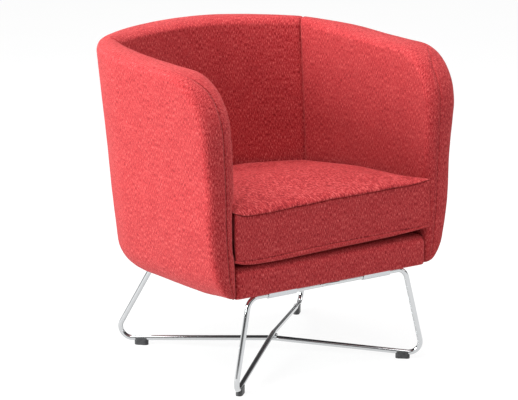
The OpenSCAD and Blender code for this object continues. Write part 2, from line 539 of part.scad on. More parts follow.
// ---- front rail cover and dust cover ----------------------------------------------
// Outline of the front rail's padding seen from the side, as a path from the
// underside round the front to the deck: [y, z, corner radius]
function fillet(p, k, n) = let (a = unit(p[k - 1] - p[k]), b = unit(p[k + 1] - p[k]), r = p[k][2],
        h = acos(a * b) / 2, c = p[k] + unit(a + b) * (r / sin(h)),
        u = p[k] + a * (r / tan(h)) - c, v = p[k] + b * (r / tan(h)) - c, t = acos(unit(u) * unit(v)))
    [for (m = [0:n]) let (q = (u * sin(t * (1 - m / n)) + v * sin(t * m / n)) / sin(t)) c + q];
function xy(l) = [for (p = l) [p[0], p[1]]];
function rail_path(g) = let (c = [[-281, g, 0], [-327.6 + g, g, 8 - g * 0.6], [-327.6 + g, 69 - g, 15 - g], [-268, 69 - g, 0]],
        P = [for (q = c) [q[0], q[1], 0]])
    concat([[c[0][0], c[0][1]]],
        xy(fillet([P[0], [P[1][0], P[1][1], c[1][2]], P[2]], 1, 5)),
        xy(fillet([P[1], [P[2][0], P[2][1], c[2][2]], P[3]], 1, 7)), [[c[3][0], c[3][1]]]);
module profile_x(w, pts) {
    // pts are [y, z]; the solid runs from -w to w along X
    translate([-w, 0, 0]) rotate([90, 0, 90]) linear_extrude(height = 2 * w) polygon(pts);
}
function rev(l) = [for (k = [len(l) - 1:-1:0]) l[k]];
module front_rail_cover() {
    a = rail_path(0); b = rail_path(1.2);
    color(deep_red) seat_plane() difference() {
        profile_x(252.6, concat(a, rev(b)));
        each_bolt() translate([0, 0, -2]) cylinder(r = 4.2, h = 6, $fn = 32);
    }
}
module front_rail_foam() {
    a = rail_path(1.5);
    top = rail_z + rail_h + 3.5;
    color(foam) seat_plane() profile_x(250.9, concat([[-319.4, 1.6]], [for (p = a) if (p[0] < -319.4 || p[1] > 40) p],
        [[-268, top], [-319.4, top]]));
}
// Thin black cloth under the seat
function dust_plan() = concat([[-246, -280]],
    [for (i = [-20:20]) let (p = from_out(i, 0, low_z(sta_y(i, 0)) + 1.5, 5)) [p[0], p[1]]], [[246, -280]]);
module dust_cover() {
    color([0.12, 0.12, 0.13]) seat_plane() difference() {
        translate([0, 0, 0.2]) linear_extrude(height = 0.8) polygon(dust_plan());
        each_bolt() translate([0, 0, -2]) cylinder(r = 4.2, h = 6, $fn = 32);
    }
}
module dust_cover_staples() {
    color("lightsteelblue") seat_plane() {
        for (x = [-220:40:220]) translate([x - 5, -276, -0.8]) cube([10, 1.2, 1]);
        for (i = [-19:19]) let (p = from_out(i, 0, low_z(sta_y(i, 0)) + 1.5, 11), s = st_r(abs(i), 0))
            translate([p[0], p[1], -0.8]) rotate([0, 0, atan2(-sign(i) * s[2], s[3])]) translate([-5, -0.6, 0]) cube([10, 1.2, 1]);
    }
}

// ---- loose seat cushion --------------------------------------------------------
cushion_z = deck_top + 0.1;
// Corners of the cushion's plan: [x, y, corner radius, or 0 where it is nearly straight],
// front right first
function plan_pts() = [[cushion_w + cushion_ear, cushion_front, 7], [cushion_w, cushion_front + 22.8, 30], [cushion_w + 0.9, -277, 0],
    [cushion_w + 4, -90, 300], [cushion_w - 2.4, 12, 0], [cushion_w - 10, cushion_back - 63, 30],
    [175, cushion_back - 23, 90], [110, cushion_back, 90], [-110, cushion_back, 90], [-175, cushion_back - 23, 90],
    [-cushion_w + 10, cushion_back - 63, 30], [-cushion_w + 2.4, 12, 0], [-cushion_w - 4, -90, 300],
    [-cushion_w - 0.9, -277, 0], [-cushion_w, cushion_front + 22.8, 30],
    [-cushion_w - cushion_ear, cushion_front, 7]];
function plan_corner(k) = let (P = plan_pts(), n = len(P), p = P[k], a = P[(k + n - 1) % n], b = P[(k + 1) % n],
        q = [[a[0], a[1], 0], [p[0], p[1], 0], [b[0], b[1], 0]],
        u = unit(q[0] - q[1]), v = unit(q[2] - q[1]), h = acos(u * v) / 2, c = q[1] + unit(u + v) * (p[2] / sin(h)),
        s = q[1] + u * (p[2] / tan(h)) - c, e = q[1] + v * (p[2] / tan(h)) - c, t = acos(unit(s) * unit(e)), m = 3)
    p[2] == 0 ? [q[1]] : [for (j = [0:m]) c + (s * sin(t * (1 - j / m)) + e * sin(t * j / m)) / sin(t)];
PLAN = [for (k = [0:len(plan_pts()) - 1]) for (p = plan_corner(k)) [p[0], p[1]]];
PC = [0, -75];
// The plan pulled in by g towards its middle, at height z above the underside
function droop(y, z) = cushion_droop * pow(clamp01((-276 - y) / 52), 1.5) * clamp01(1 - z / 45);
function ring(g, z) = [for (p = PLAN) let (v = p - PC, l = norm(v), q = PC + v * ((l - g) / l))
    [q[0], q[1], cushion_z + z - cushion_fall * (q[1] - cushion_front) * z / band_top - droop(q[1], z)]];
// Crowned surface: inset and height of its rings
function crown_ring(f, t) = let (h = crown * pow(1 - pow(1 - f, 2.6), 1 / 2.6))
    [for (p = PLAN) let (q = PC + (p - PC) * (1 - f * 0.96 - (f == 0 ? t / 250 : 0)),
            z = band_top + h * (1 - crown_loss * pow(clamp01((q[1] + 60) / 170), 1.4)) - t)
        [q[0], q[1], cushion_z + z - cushion_fall * (q[1] - cushion_front)]];
CR = [0, 0.012, 0.05, 0.12, 0.25, 0.45, 0.7, 1];
module cushion_foam() {
    color(foam) seat_plane() ring_stack(concat([ring(85, 3.2), ring(60, 3.2), ring(13, 3.2), ring(3.4, 8.8), ring(3.4, 45), ring(3.4, band_top - 4)],
        [for (k = [1:len(CR) - 1]) crown_ring(CR[k], 2.9)]));
}
module cushion_top_panel() {
    n = len(CR) - 1;
    color(red) seat_plane() ring_stack(concat([for (k = [n:-1:1]) crown_ring(CR[k], 1.9)],
        [ring(2.2, band_top - 2.6), ring(0, band_top - 2.6)], [for (k = [0:n]) crown_ring(CR[k], 0)]));
}
module cushion_border() {
    color(red) seat_plane() ring_tube([ring(0.4, 13), ring(-0.4, 40), ring(-0.4, 80), ring(0.2, band_top - 3)],
        [ring(2.6, 13), ring(2.6, 40), ring(2.6, 80), ring(2.6, band_top - 3)]);
}
module cushion_bottom_panel() {
    color(red) seat_plane() ring_stack([ring(85, 2), ring(60, 2), ring(11, 2), ring(2.6, 7), ring(2.6, 12.6), ring(0, 12.6), ring(0, 4.5), ring(5, 0.2), ring(12, 0), ring(60, 0), ring(85, 0)], true);
}
// Zip across the back of the cushion: two tapes with a coil between them
zip_w = 104;
module cushion_zip() {
    color([0.45, 0.10, 0.12]) seat_plane() translate([-zip_w, cushion_back + 0.7, cushion_z + 48]) {
        cube([2 * zip_w, 0.8, 7]);
        translate([0, 0, 9]) cube([2 * zip_w, 0.8, 7]);
        translate([0, 0, 6.6]) cube([2 * zip_w, 1.6, 2.8]);
    }
}
module zip_slider() {
    color("silver") seat_plane() translate([zip_w - 14, cushion_back + 2.7, cushion_z + 56]) {
        translate([0, 0, -3.6]) cube([11, 1.6, 7.2]);
        translate([2, 1.4, -1.2]) cube([7, 1.4, 2.4]);
        translate([3, 1.8, -19]) cube([5, 0.9, 19]);
    }
}

base_rod_lower();
base_rod_upper();
frame_welds();
base_clamps();
clamp_bolts();
threaded_inserts();
floor_glides();
seat_front_rail();
seat_cross_rail();
seat_left_rail();
seat_right_rail();
seat_rear_rail();
corner_blocks();
webbing_lengthwise();
webbing_crosswise();
webbing_staples();
deck_foam();
deck_cloth();
left_arm_panel();
right_arm_panel();
back_panel();
corner_posts();
left_arm_foam();
right_arm_foam();
back_foam();
left_arm_wadding();
right_arm_wadding();
back_wadding();
edge_roll();
outer_cover();
inner_left_cover();
inner_right_cover();
inner_back_cover();
front_rail_foam();
front_rail_cover();
dust_cover();
dust_cover_staples();
cushion_foam();
cushion_top_panel();
cushion_border();
cushion_bottom_panel();
cushion_zip();
zip_slider();
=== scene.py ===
import math

import bpy
import numpy as np
from mathutils import Matrix, Vector, noise
from mathutils.bvhtree import BVHTree


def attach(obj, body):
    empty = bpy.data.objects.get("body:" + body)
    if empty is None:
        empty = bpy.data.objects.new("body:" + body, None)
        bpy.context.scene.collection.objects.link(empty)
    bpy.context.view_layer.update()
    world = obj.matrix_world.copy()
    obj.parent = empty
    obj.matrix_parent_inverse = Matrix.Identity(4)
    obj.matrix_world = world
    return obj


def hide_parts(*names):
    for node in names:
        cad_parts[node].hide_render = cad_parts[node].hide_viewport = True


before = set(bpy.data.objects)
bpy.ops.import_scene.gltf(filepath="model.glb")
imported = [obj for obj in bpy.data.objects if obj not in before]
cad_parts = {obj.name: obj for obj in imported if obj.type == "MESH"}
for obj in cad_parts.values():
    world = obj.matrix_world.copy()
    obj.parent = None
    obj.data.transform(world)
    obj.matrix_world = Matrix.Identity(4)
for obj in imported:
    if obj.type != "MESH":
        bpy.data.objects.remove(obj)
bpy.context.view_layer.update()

# ------------------------------------------------------------------ numbers
# The tub's outline, in metres, as in the part's source.
HALF_W, FRONT_Y, BACK_Y = 0.358, -0.3065, 0.3285
BOW, CORNER, REAR_H, FRONT_H = 0.080, 0.121, 0.716, 0.690
NOSE, RIM, FULL = 0.118, 0.022, 2.6
BOTTOM, DROP, ROUND_S, ROUND_B = 0.224, 0.019, 0.038, 0.047
ROUND_H, ROUND_FULL = 0.054, 1.8
BELLY, BELLY_REAR, BELLY_Z, SAG = 0.008, 0.003, 0.364, 0.005
TAPER_S, TAPER_B = 0.10, 0.07
ARM_T, TOE, INNER_TAPER = 0.089, -0.0074, 0.016
INNER_BACK, CREASE_Y, CREASE_IN = 0.2405, 0.171, 0.015
BACK_LEAN, CREASE_LEAN = 0.105, 0.112
SEAM_FRONT, SEAM_TOP = 0.62, 0.12
TILT = math.radians(1.75)
PIVOT = Vector((0, -0.3055, 0.2263))
RAIL_TOP = 0.0573

S1, S2, S3, S4, IC = 6, 8, 3, 6, 8
NS = S1 + S2 + S3 + S4
xe = HALF_W - CORNER
rho = (xe * xe + BOW * BOW) / (2 * BOW)
ae = math.asin(xe / rho)
rr = CORNER / (1 - math.sin(ae))
cx = xe - rr * math.sin(ae)
cy = BACK_Y - BOW - rr * math.cos(ae)
kt = (REAR_H - FRONT_H) / (BACK_Y - FRONT_Y)
yn = FRONT_Y + NOSE
hn = FRONT_H + kt * NOSE


def clamp(v, a=0.0, b=1.0):
    return max(a, min(b, v))


def mix(a, b, w):
    return a + (b - a) * w


def smooth(a, b, v):
    t = clamp((v - a) / (b - a))
    return t * t * (3 - 2 * t)


def top_line(y):
    u = clamp((y - yn) / (BACK_Y - yn))
    return FRONT_H + kt * (y - FRONT_Y) - 4 * SAG * u * (1 - u)


def arm_x(y):
    return HALF_W if y >= cy else HALF_W + TOE * ((y - cy) / (FRONT_Y - cy)) ** 2


def station(i):
    """x, y, normal x, normal y, height of the edge, at station i >= 0."""
    if i < S1:
        a = ae * i / S1
        y = BACK_Y - rho * (1 - math.cos(a))
        return rho * math.sin(a), y, math.sin(a), math.cos(a), top_line(y)
    if i <= S1 + S2:
        a = ae + (math.pi / 2 - ae) * (i - S1) / S2
        y = cy + rr * math.cos(a)
        return cx + rr * math.sin(a), y, math.sin(a), math.cos(a), top_line(y)
    if i < S1 + S2 + S3:
        y = mix(cy, yn, (i - S1 - S2) / S3)
        return arm_x(y), y, 1.0, 0.0, top_line(y)
    a = math.pi / 2 * (i - S1 - S2 - S3) / S4
    y = yn - NOSE * math.sin(a)
    return arm_x(y), y, 1.0, 0.0, hn - NOSE + NOSE * math.cos(a)


def low_z(y):
    # the cloth is drawn up a little round the foot of each arm's front
    return BOTTOM - DROP * clamp((y - FRONT_Y) / (BACK_Y - FRONT_Y)) + 0.005 * smooth(-0.225, -0.30, y)


def outer(s, z):
    tp = TAPER_S * s[2] ** 2 + TAPER_B * s[3] ** 2
    rb = ROUND_S * s[2] ** 2 + ROUND_B * s[3] ** 2
    e = clamp((low_z(s[1]) + ROUND_H - z) / ROUND_H)
    swell = s[2] ** 4 * mix(BELLY_REAR, BELLY, clamp((0.15 - s[1]) / 0.4))
    swell *= math.cos(math.pi / 2 * min(1, abs(z - BELLY_Z) / 0.13)) ** 2
    off = tp * (REAR_H - z) - swell + rb * (1 - max(0, 1 - e ** ROUND_FULL) ** (1 / ROUND_FULL))
    return Vector((s[0] - s[2] * off, s[1] - s[3] * off, z))


def pinch(z):
    return CREASE_IN + 0.012 * (REAR_H - z)


def crease_x(z):
    return HALF_W - ARM_T - pinch(z) - INNER_TAPER * (REAR_H - z)


def crease_at(z):
    return CREASE_Y - CREASE_LEAN * (REAR_H - z)


def inner_y(x, z):
    b = INNER_BACK - BACK_LEAN * (REAR_H - z)
    return b - (b - crease_at(z)) * (x / crease_x(z)) ** 2


def inner(i, s, z):
    if i <= IC:
        x = crease_x(z) * i / IC
        return Vector((x, inner_y(x, z), z))
    y = s[1] if i >= S1 + S2 else mix(crease_at(z), cy, (i - IC) / (S1 + S2 - IC))
    x = HALF_W - ARM_T - INNER_TAPER * (REAR_H - z)
    if y < cy:
        x += TOE * ((y - cy) / (FRONT_Y - cy)) ** 2
    else:
        x -= pinch(z) * ((y - cy) / (crease_at(z) - cy)) ** 2
    return Vector((x, y, z))


def flip(p, i):
    return Vector((-p.x, p.y, p.z)) if i < 0 else p


def seam_at(i):
    """Place of the long seam across the rim: outer side of the top, well round on the arm fronts."""
    return mix(SEAM_TOP, SEAM_FRONT, smooth(NS - 6.5, NS - 2.4, abs(i)))


def bulge(w, full=FULL):
    return max(0.0, 1 - abs(2 * w - 1) ** full) ** (1 / full)


def deck_z(y):
    return PIVOT.z + RAIL_TOP - math.tan(TILT) * (y - PIVOT.y)


def seat_plane(p):
    """A point of the seat's own level frame, placed on its tilted plane."""
    x, y, z = p
    y -= PIVOT.y
    return Vector((x, PIVOT.y + y * math.cos(TILT) + z * math.sin(TILT), PIVOT.z - y * math.sin(TILT) + z * math.cos(TILT)))


def wave(p, scale, seed=0.0):
    return noise.noise(Vector((p[0] * scale + seed, p[1] * scale + 1.7 * seed, p[2] * scale - seed)))


# ------------------------------------------------------------------ materials
def nodes_of(name):
    m = bpy.data.materials.new(name)
    m.use_nodes = True
    nt = m.node_tree
    nt.nodes.clear()
    out = nt.nodes.new("ShaderNodeOutputMaterial")
    b = nt.nodes.new("ShaderNodeBsdfPrincipled")
    nt.links.new(b.outputs[0], out.inputs[0])
    return m, nt, b


def put(nt, kind, **values):
    n = nt.nodes.new(kind)
    for k, v in values.items():
        if hasattr(n, k):
            setattr(n, k, v)
        else:
            n.inputs[k.replace("_", " ")].default_value = v
    return n


def math_node(nt, op, a, b=None, clamped=False):
    n = nt.nodes.new("ShaderNodeMath")
    n.operation = op
    n.use_clamp = clamped
    for k, v in ((0, a), (1, b)):
        if v is None:
            continue
        if isinstance(v, (int, float)):
            n.inputs[k].default_value = v
        else:
            nt.links.new(v, n.inputs[k])
    return n.outputs[0]


def scaled(nt, source, xyz, shift=(0, 0, 0)):
    n = nt.nodes.new("ShaderNodeMapping")
    n.inputs["Scale"].default_value = xyz
    n.inputs["Location"].default_value = shift
    nt.links.new(source, n.inputs["Vector"])
    return n.outputs[0]


def noise_tex(nt, source, scale, detail=2.0, rough=0.5, distort=0.0):
    n = nt.nodes.new("ShaderNodeTexNoise")
    n.inputs["Scale"].default_value = scale
    n.inputs["Detail"].default_value = detail
    n.inputs["Roughness"].default_value = rough
    n.inputs["Distortion"].default_value = distort
    nt.links.new(source, n.inputs["Vector"])
    return n.outputs["Fac"]


def ramp(nt, fac, stops):
    n = nt.nodes.new("ShaderNodeValToRGB")
    e = n.color_ramp.elements
    while len(e) < len(stops):
        e.new(0.5)
    for k, (p, c) in enumerate(stops):
        e[k].position = p
        e[k].color = (*c, 1.0)
    nt.links.new(fac, n.inputs[0])
    return n.outputs["Color"]


def bump(nt, bsdf, height, distance, strength=1.0, normal=None):
    n = nt.nodes.new("ShaderNodeBump")
    n.inputs["Strength"].default_value = strength
    n.inputs["Distance"].default_value = distance
    nt.links.new(height, n.inputs["Height"])
    if normal is not None:
        nt.links.new(normal, n.inputs["Normal"])
    if bsdf is not None:
        nt.links.new(n.outputs[0], bsdf.inputs["Normal"])
    return n.outputs[0]


def weave_height(nt, coord, pitch):
    """Plain weave: warp and weft threads that pass over each other in turn."""
    s = nt.nodes.new("ShaderNodeSeparateXYZ")
    nt.links.new(coord, s.inputs[0])
    u = math_node(nt, "MULTIPLY", s.outputs[0], math.pi / pitch)
    v = math_node(nt, "MULTIPLY", s.outputs[1], math.pi / pitch)
    su, sv = math_node(nt, "SINE", u), math_node(nt, "SINE", v)
    cu, cv = math_node(nt, "COSINE", u), math_node(nt, "COSINE", v)
    a = math_node(nt, "MULTIPLY", math_node(nt, "ABSOLUTE", su), math_node(nt, "ADD", math_node(nt, "MULTIPLY", cv, 0.5), 0.5))
    b = math_node(nt, "MULTIPLY", math_node(nt, "ABSOLUTE", sv), math_node(nt, "SUBTRACT", 0.5, math_node(nt, "MULTIPLY", cu, 0.5)))
    return math_node(nt, "MAXIMUM", a, b)


def melange(name, dark, mid, light, streak=1.15, long=0.20, size=1.0, relief=0.0004, pitch=0.0011):
    """Wool melange: threads spun from fibres of several reds, brushed soft."""
    m, nt, b = nodes_of(name)
    at = nt.nodes.new("ShaderNodeAttribute")
    at.attribute_name = "weave"
    c = at.outputs["Vector"]
    fine = noise_tex(nt, scaled(nt, c, (1.0, 0.4, 1.0)), 1250.0, 2.0, 0.6)
    slub = noise_tex(nt, scaled(nt, c, (1.0, long, 1.0), (3.1, 1.3, 0)), 640.0 * size, 1.5, 0.5)
    cross = noise_tex(nt, scaled(nt, c, (0.35, 1.0, 1.0), (7.7, 2.1, 0)), 640.0, 1.5, 0.5)
    patch = noise_tex(nt, c, 24.0, 2.0, 0.5)
    f = math_node(nt, "MULTIPLY", math_node(nt, "SUBTRACT", fine, 0.5), 0.95)
    g = math_node(nt, "MULTIPLY", math_node(nt, "SUBTRACT", slub, 0.5), 1.4 * streak)
    h = math_node(nt, "MULTIPLY", math_node(nt, "SUBTRACT", cross, 0.5), 0.40)
    k = math_node(nt, "MULTIPLY", math_node(nt, "SUBTRACT", patch, 0.5), 0.16)
    total = math_node(nt, "ADD", math_node(nt, "ADD", f, g), math_node(nt, "ADD", h, k))
    total = math_node(nt, "ADD", total, 0.5, True)
    col = ramp(nt, total, [(0.0, dark), (0.34, mix3(dark, mid, 0.42)), (0.51, mid), (0.71, mix3(mid, light, 0.4)), (1.0, light)])
    nt.links.new(col, b.inputs["Base Color"])
    b.inputs["Roughness"].default_value = 0.92
    b.inputs["Specular IOR Level"].default_value = 0.18
    b.inputs["Sheen Weight"].default_value = 0.13
    b.inputs["Sheen Roughness"].default_value = 0.45
    b.inputs["Sheen Tint"].default_value = (1.0, 0.45, 0.42, 1.0)
    wv = weave_height(nt, c, pitch)
    fuzz = noise_tex(nt, c, 2600.0, 2.0, 0.7)
    n1 = bump(nt, None, wv, 0.00028, 0.85)
    n2 = bump(nt, None, math_node(nt, "ADD", slub, math_node(nt, "MULTIPLY", fuzz, 0.6)), relief, 0.8, n1)
    nt.links.new(n2, b.inputs["Normal"])
    return m


def mix3(a, b, w):
    return tuple(x + (y - x) * w for x, y in zip(a, b))


def metal(name, colour, rough, brushed=0.0, scale=900.0, stretch=(1, 1, 1)):
    m, nt, b = nodes_of(name)
    tc = nt.nodes.new("ShaderNodeTexCoord")
    c = scaled(nt, tc.outputs["Object"], stretch)
    n = noise_tex(nt, c, scale, 3.0, 0.6)
    spots = noise_tex(nt, tc.outputs["Object"], 38.0, 3.0, 0.6)
    b.inputs["Metallic"].default_value = 1.0
    nt.links.new(ramp(nt, spots, [(0.3, mix3(colour, (0, 0, 0), 0.04)), (0.7, colour)]), b.inputs["Base Color"])
    r = math_node(nt, "ADD", math_node(nt, "MULTIPLY", n, brushed + 0.03), rough, True)
    nt.links.new(r, b.inputs["Roughness"])
    bump(nt, b, n, 0.00004 + 0.0002 * brushed, 0.5)
    return m


def plastic(name, colour, rough):
    m, nt, b = nodes_of(name)
    tc = nt.nodes.new("ShaderNodeTexCoord")
    n = noise_tex(nt, tc.outputs["Object"], 1500.0, 2.0, 0.6)
    wear = noise_tex(nt, tc.outputs["Object"], 90.0, 4.0, 0.6)
    nt.links.new(ramp(nt, wear, [(0.35, colour), (0.8, mix3(colour, (0.3, 0.3, 0.3), 0.18))]), b.inputs["Base Color"])
    nt.links.new(math_node(nt, "ADD", math_node(nt, "MULTIPLY", wear, 0.2), rough, True), b.inputs["Roughness"])
    bump(nt, b, n, 0.00008, 0.6)
    return m


def timber(name, dark, light, stretch=(3.0, 60.0, 60.0)):
    m, nt, b = nodes_of(name)
    tc = nt.nodes.new("ShaderNodeTexCoord")
    g = noise_tex(nt, scaled(nt, tc.outputs["Object"], stretch), 5.0, 5.0, 0.6, 0.4)
    pores = noise_tex(nt, scaled(nt, tc.outputs["Object"], (stretch[0] * 3, stretch[1] * 8, stretch[2] * 8)), 9.0, 2.0, 0.5)
    nt.links.new(ramp(nt, g, [(0.25, dark), (0.55, mix3(dark, light, 0.6)), (0.8, light)]), b.inputs["Base Color"])
    b.inputs["Roughness"].default_value = 0.62
    bump(nt, b, math_node(nt, "ADD", g, math_node(nt, "MULTIPLY", pores, 0.5)), 0.0005, 0.6)
    return m


def plain_cloth(name, colour, light, pitch, attribute=True, rough=0.9, sheen=0.2):
    m, nt, b = nodes_of(name)
    if attribute:
        at = nt.nodes.new("ShaderNodeAttribute")
        at.attribute_name = "weave"
        c = at.outputs["Vector"]
    else:
        c = nt.nodes.new("ShaderNodeTexCoord").outputs["Object"]
    n = noise_tex(nt, c, 700.0, 3.0, 0.65)
    big = noise_tex(nt, c, 30.0, 3.0, 0.5)
    t = math_node(nt, "ADD", math_node(nt, "MULTIPLY", n, 0.8), math_node(nt, "MULTIPLY", big, 0.3))
    nt.links.new(ramp(nt, t, [(0.3, colour), (0.75, light)]), b.inputs["Base Color"])
    b.inputs["Roughness"].default_value = rough
    b.inputs["Sheen Weight"].default_value = sheen
    wv = weave_height(nt, c, pitch)
    bump(nt, b, math_node(nt, "ADD", wv, math_node(nt, "MULTIPLY", n, 0.5)), 0.0003, 0.8)
    return m


RED_DARK, RED_MID, RED_LIGHT = (0.165, 0.006, 0.010), (0.385, 0.025, 0.029), (0.640, 0.125, 0.120)
red = melange("red_melange_wool", RED_DARK, RED_MID, RED_LIGHT)
red_seat = melange("red_melange_wool_seat", RED_DARK, RED_MID, RED_LIGHT, 1.20, 0.32, 0.62, 0.00016)
thread = plain_cloth("sewing_thread", (0.20, 0.012, 0.018), (0.42, 0.04, 0.05), 0.0003)
deck_mat = plain_cloth("platform_cloth", (0.028, 0.006, 0.009), (0.075, 0.018, 0.022), 0.0007)
under_mat = plain_cloth("dust_cover_cloth", (0.010, 0.010, 0.011), (0.034, 0.034, 0.036), 0.0009, sheen=0.05)
jute_mat = plain_cloth("jute_webbing", (0.22, 0.14, 0.07), (0.50, 0.37, 0.20), 0.0022, attribute=False)
tape_mat = plain_cloth("zip_tape", (0.16, 0.010, 0.016), (0.34, 0.03, 0.04), 0.0005)
chrome = metal("chromed_steel", (0.60, 0.61, 0.62), 0.035, 0.0)
zinc = metal("zinc_plated_steel", (0.58, 0.59, 0.61), 0.16, 0.10, 1400.0, (0.2, 1, 1))
black_steel = metal("black_oxide_steel", (0.06, 0.06, 0.065), 0.34, 0.12)
brass = metal("turned_brass", (0.78, 0.58, 0.26), 0.22, 0.1)
nickel = metal("nickel_plated_zinc", (0.72, 0.70, 0.66), 0.18, 0.08)
glide_mat = plastic("glide_plastic", (0.018, 0.018, 0.020), 0.38)
beech = timber("sawn_beech", (0.40, 0.24, 0.12), (0.72, 0.52, 0.33))
ply = timber("curved_plywood", (0.46, 0.31, 0.17), (0.78, 0.62, 0.42), (40.0, 6.0, 60.0))

NODE_LOOKS = {
    "base_clamps": zinc, "clamp_bolts": black_steel, "threaded_inserts": brass, "floor_glides": glide_mat,
    "seat_front_rail": beech, "seat_cross_rail": beech, "seat_left_rail": beech, "seat_right_rail": beech,
    "seat_rear_rail": beech, "corner_blocks": beech, "corner_posts": beech, "webbing_lengthwise": jute_mat,
    "webbing_crosswise": jute_mat, "webbing_staples": zinc, "left_arm_panel": ply, "right_arm_panel": ply,
    "back_panel": ply, "dust_cover_staples": zinc, "zip_slider": nickel,
}
for key, look in NODE_LOOKS.items():
    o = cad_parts[key]
    o.data.materials.clear()
    o.data.materials.append(look)


# ------------------------------------------------------------------ mesh helpers
def piece(name, verts, faces, weave=None, material=None, smooth_shade=True):
    me = bpy.data.meshes.new(name)
    me.from_pydata([tuple(v) for v in verts], [], faces)
    me.validate()
    if weave is not None:
        a = me.attributes.new("weave", "FLOAT_VECTOR", "POINT")
        a.data.foreach_set("vector", np.array([(w[0], w[1], w[2] if len(w) > 2 else 0.0) for w in weave], dtype=np.float32).ravel())
    if smooth_shade:
        me.polygons.foreach_set("use_smooth", [True] * len(me.polygons))
    if material is not None:
        me.materials.append(material)
    o = bpy.data.objects.new(name, me)
    bpy.context.scene.collection.objects.link(o)
    return o


def press(o, depth):
    """Moves each point along its normal by depth."""
    me = o.data
    n = np.empty(len(me.vertices) * 3, dtype=np.float32)
    me.vertices.foreach_get("normal", n)
    co = np.empty_like(n)
    me.vertices.foreach_get("co", co)
    co = co.reshape(-1, 3) + n.reshape(-1, 3) * np.asarray(depth, dtype=np.float32)[:, None]
    me.vertices.foreach_set("co", co.ravel())
    me.update()


def thicken(o, t, offset=-1.0):
    m = o.modifiers.new("thickness", "SOLIDIFY")
    m.thickness = t
    m.offset = offset
    m.use_rim = True
    bpy.context.view_layer.objects.active = o
    o.select_set(True)
    bpy.ops.object.modifier_apply(modifier=m.name)
    o.select_set(False)


def sweep(name, path, radius, material, sides=40, closed_ends=True, twist=0.0):
    """A round bar along a list of points."""
    P = [Vector(p) for p in path]
    T = []
    for k in range(len(P)):
        a, b = P[max(0, k - 1)], P[min(len(P) - 1, k + 1)]
        T.append((b - a).normalized())
    n = T[0].orthogonal().normalized()
    V, F, W = [], [], []
    run = 0.0
    for k, p in enumerate(P):
        if k:
            ax = T[k - 1].cross(T[k])
            if ax.length > 1e-9:
                n = Matrix.Rotation(math.asin(min(1, ax.length)), 3, ax.normalized()) @ n
            n = (n - T[k] * n.dot(T[k])).normalized()
            run += (P[k] - P[k - 1]).length
        b = T[k].cross(n)
        for s in range(sides):
            a = 2 * math.pi * s / sides
            r = radius if not callable(radius) else radius(k, a)
            V.append(p + (n * math.cos(a) + b * math.sin(a)) * r)
            W.append((a * 0.006, run))
    for k in range(len(P) - 1):
        for s in range(sides):
            a, b = k * sides + s, k * sides + (s + 1) % sides
            F.append((a, b, b + sides, a + sides))
    if closed_ends:
        F.append(tuple(range(sides))[::-1])
        F.append(tuple((len(P) - 1) * sides + s for s in range(sides)))
    return piece(name, V, F, W, material)


def stitches(name, path, normals, pitch=0.0042, length=0.0031, radius=0.00032, material=None, lift=0.0001):
    """A row of short sewn threads along a path of points."""
    P = [Vector(p) for p in path]
    run = [0.0]
    for k in range(1, len(P)):
        run.append(run[-1] + (P[k] - P[k - 1]).length)
    V, F, W = [], [], []
    n_st = int(run[-1] / pitch)
    k = 0
    for q in range(n_st):
        at = (q + 0.5) * pitch
        while k < len(P) - 2 and run[k + 1] < at:
            k += 1
        w = (at - run[k]) / max(1e-9, run[k + 1] - run[k])
        p = P[k].lerp(P[k + 1], w)
        n = Vector(normals[k]).lerp(Vector(normals[k + 1]), w).normalized()
        t = (P[k + 1] - P[k]).normalized()
        b = t.cross(n).normalized()
        base = len(V)
        rings = 5
        for j in range(rings):
            e = -1 + 2 * j / (rings - 1)
            c = p + t * (e * length / 2) + n * (lift + radius * (0.9 - 1.6 * e * e))
            r = radius * math.sqrt(max(0.12, 1 - e ** 4 * 0.9))
            for s in range(6):
                a = math.pi * s / 3
                V.append(c + (n * math.sin(a) + b * math.cos(a)) * r)
                W.append((s * 0.0003, at + e * length / 2))
        for j in range(rings - 1):
            for s in range(6):
                a, c2 = base + j * 6 + s, base + j * 6 + (s + 1) % 6
                F.append((a, c2, c2 + 6, a + 6))
        F.append(tuple(base + s for s in range(6))[::-1])
        F.append(tuple(base + (rings - 1) * 6 + s for s in range(6)))
    return piece(name, V, F, W, material or thread)


def groove(c, depth=0.0032, width=0.0024):
    return -depth * math.exp(-((c / width) ** 2))


# ------------------------------------------------------------------ the tub's covers
def on_front(i):
    """1 on the arm fronts, 0 along the top of the tub."""
    return smooth(NS - 5.2, NS - 3.0, abs(i))


def seam_depth(i):
    return mix(0.0003, 0.0025 if i < 0 else 0.0014, on_front(i))


def spread(a, b, n, power=1.0):
    return [mix(a, b, (k / n) ** power) for k in range(n + 1)]


BACK_SEAM = 6.6
half = spread(0, S1, 26)[:-1] + spread(S1, S1 + S2, 30)[:-1] + [BACK_SEAM + k for k in (-0.22, -0.11, -0.055, 0, 0.055, 0.11, 0.22)] + spread(S1 + S2, S1 + S2 + S3, 12)[:-1] + spread(S1 + S2 + S3, NS, 26)
half = sorted(set(half))
half = [i for k, i in enumerate(half) if k == 0 or i - half[k - 1] > 0.02]
OUT_I = [-i for i in half[:0:-1]] + half

# arc length along the plan, for the weave
fine_i = spread(0, NS, 920)
fine_p = [station(i) for i in fine_i]
arc = [0.0]
for a_, b_ in zip(fine_p, fine_p[1:]):
    arc.append(arc[-1] + math.hypot(b_[0] - a_[0], b_[1] - a_[1]))


def arc_at(i):
    v = float(np.interp(abs(i), fine_i, arc))
    return -v if i < 0 else v


def rim_dir(i):
    a = math.pi / 2 * max(0, abs(i) - S1 - S2 - S3) / S4
    return Vector((0, -math.sin(a), math.cos(a)))


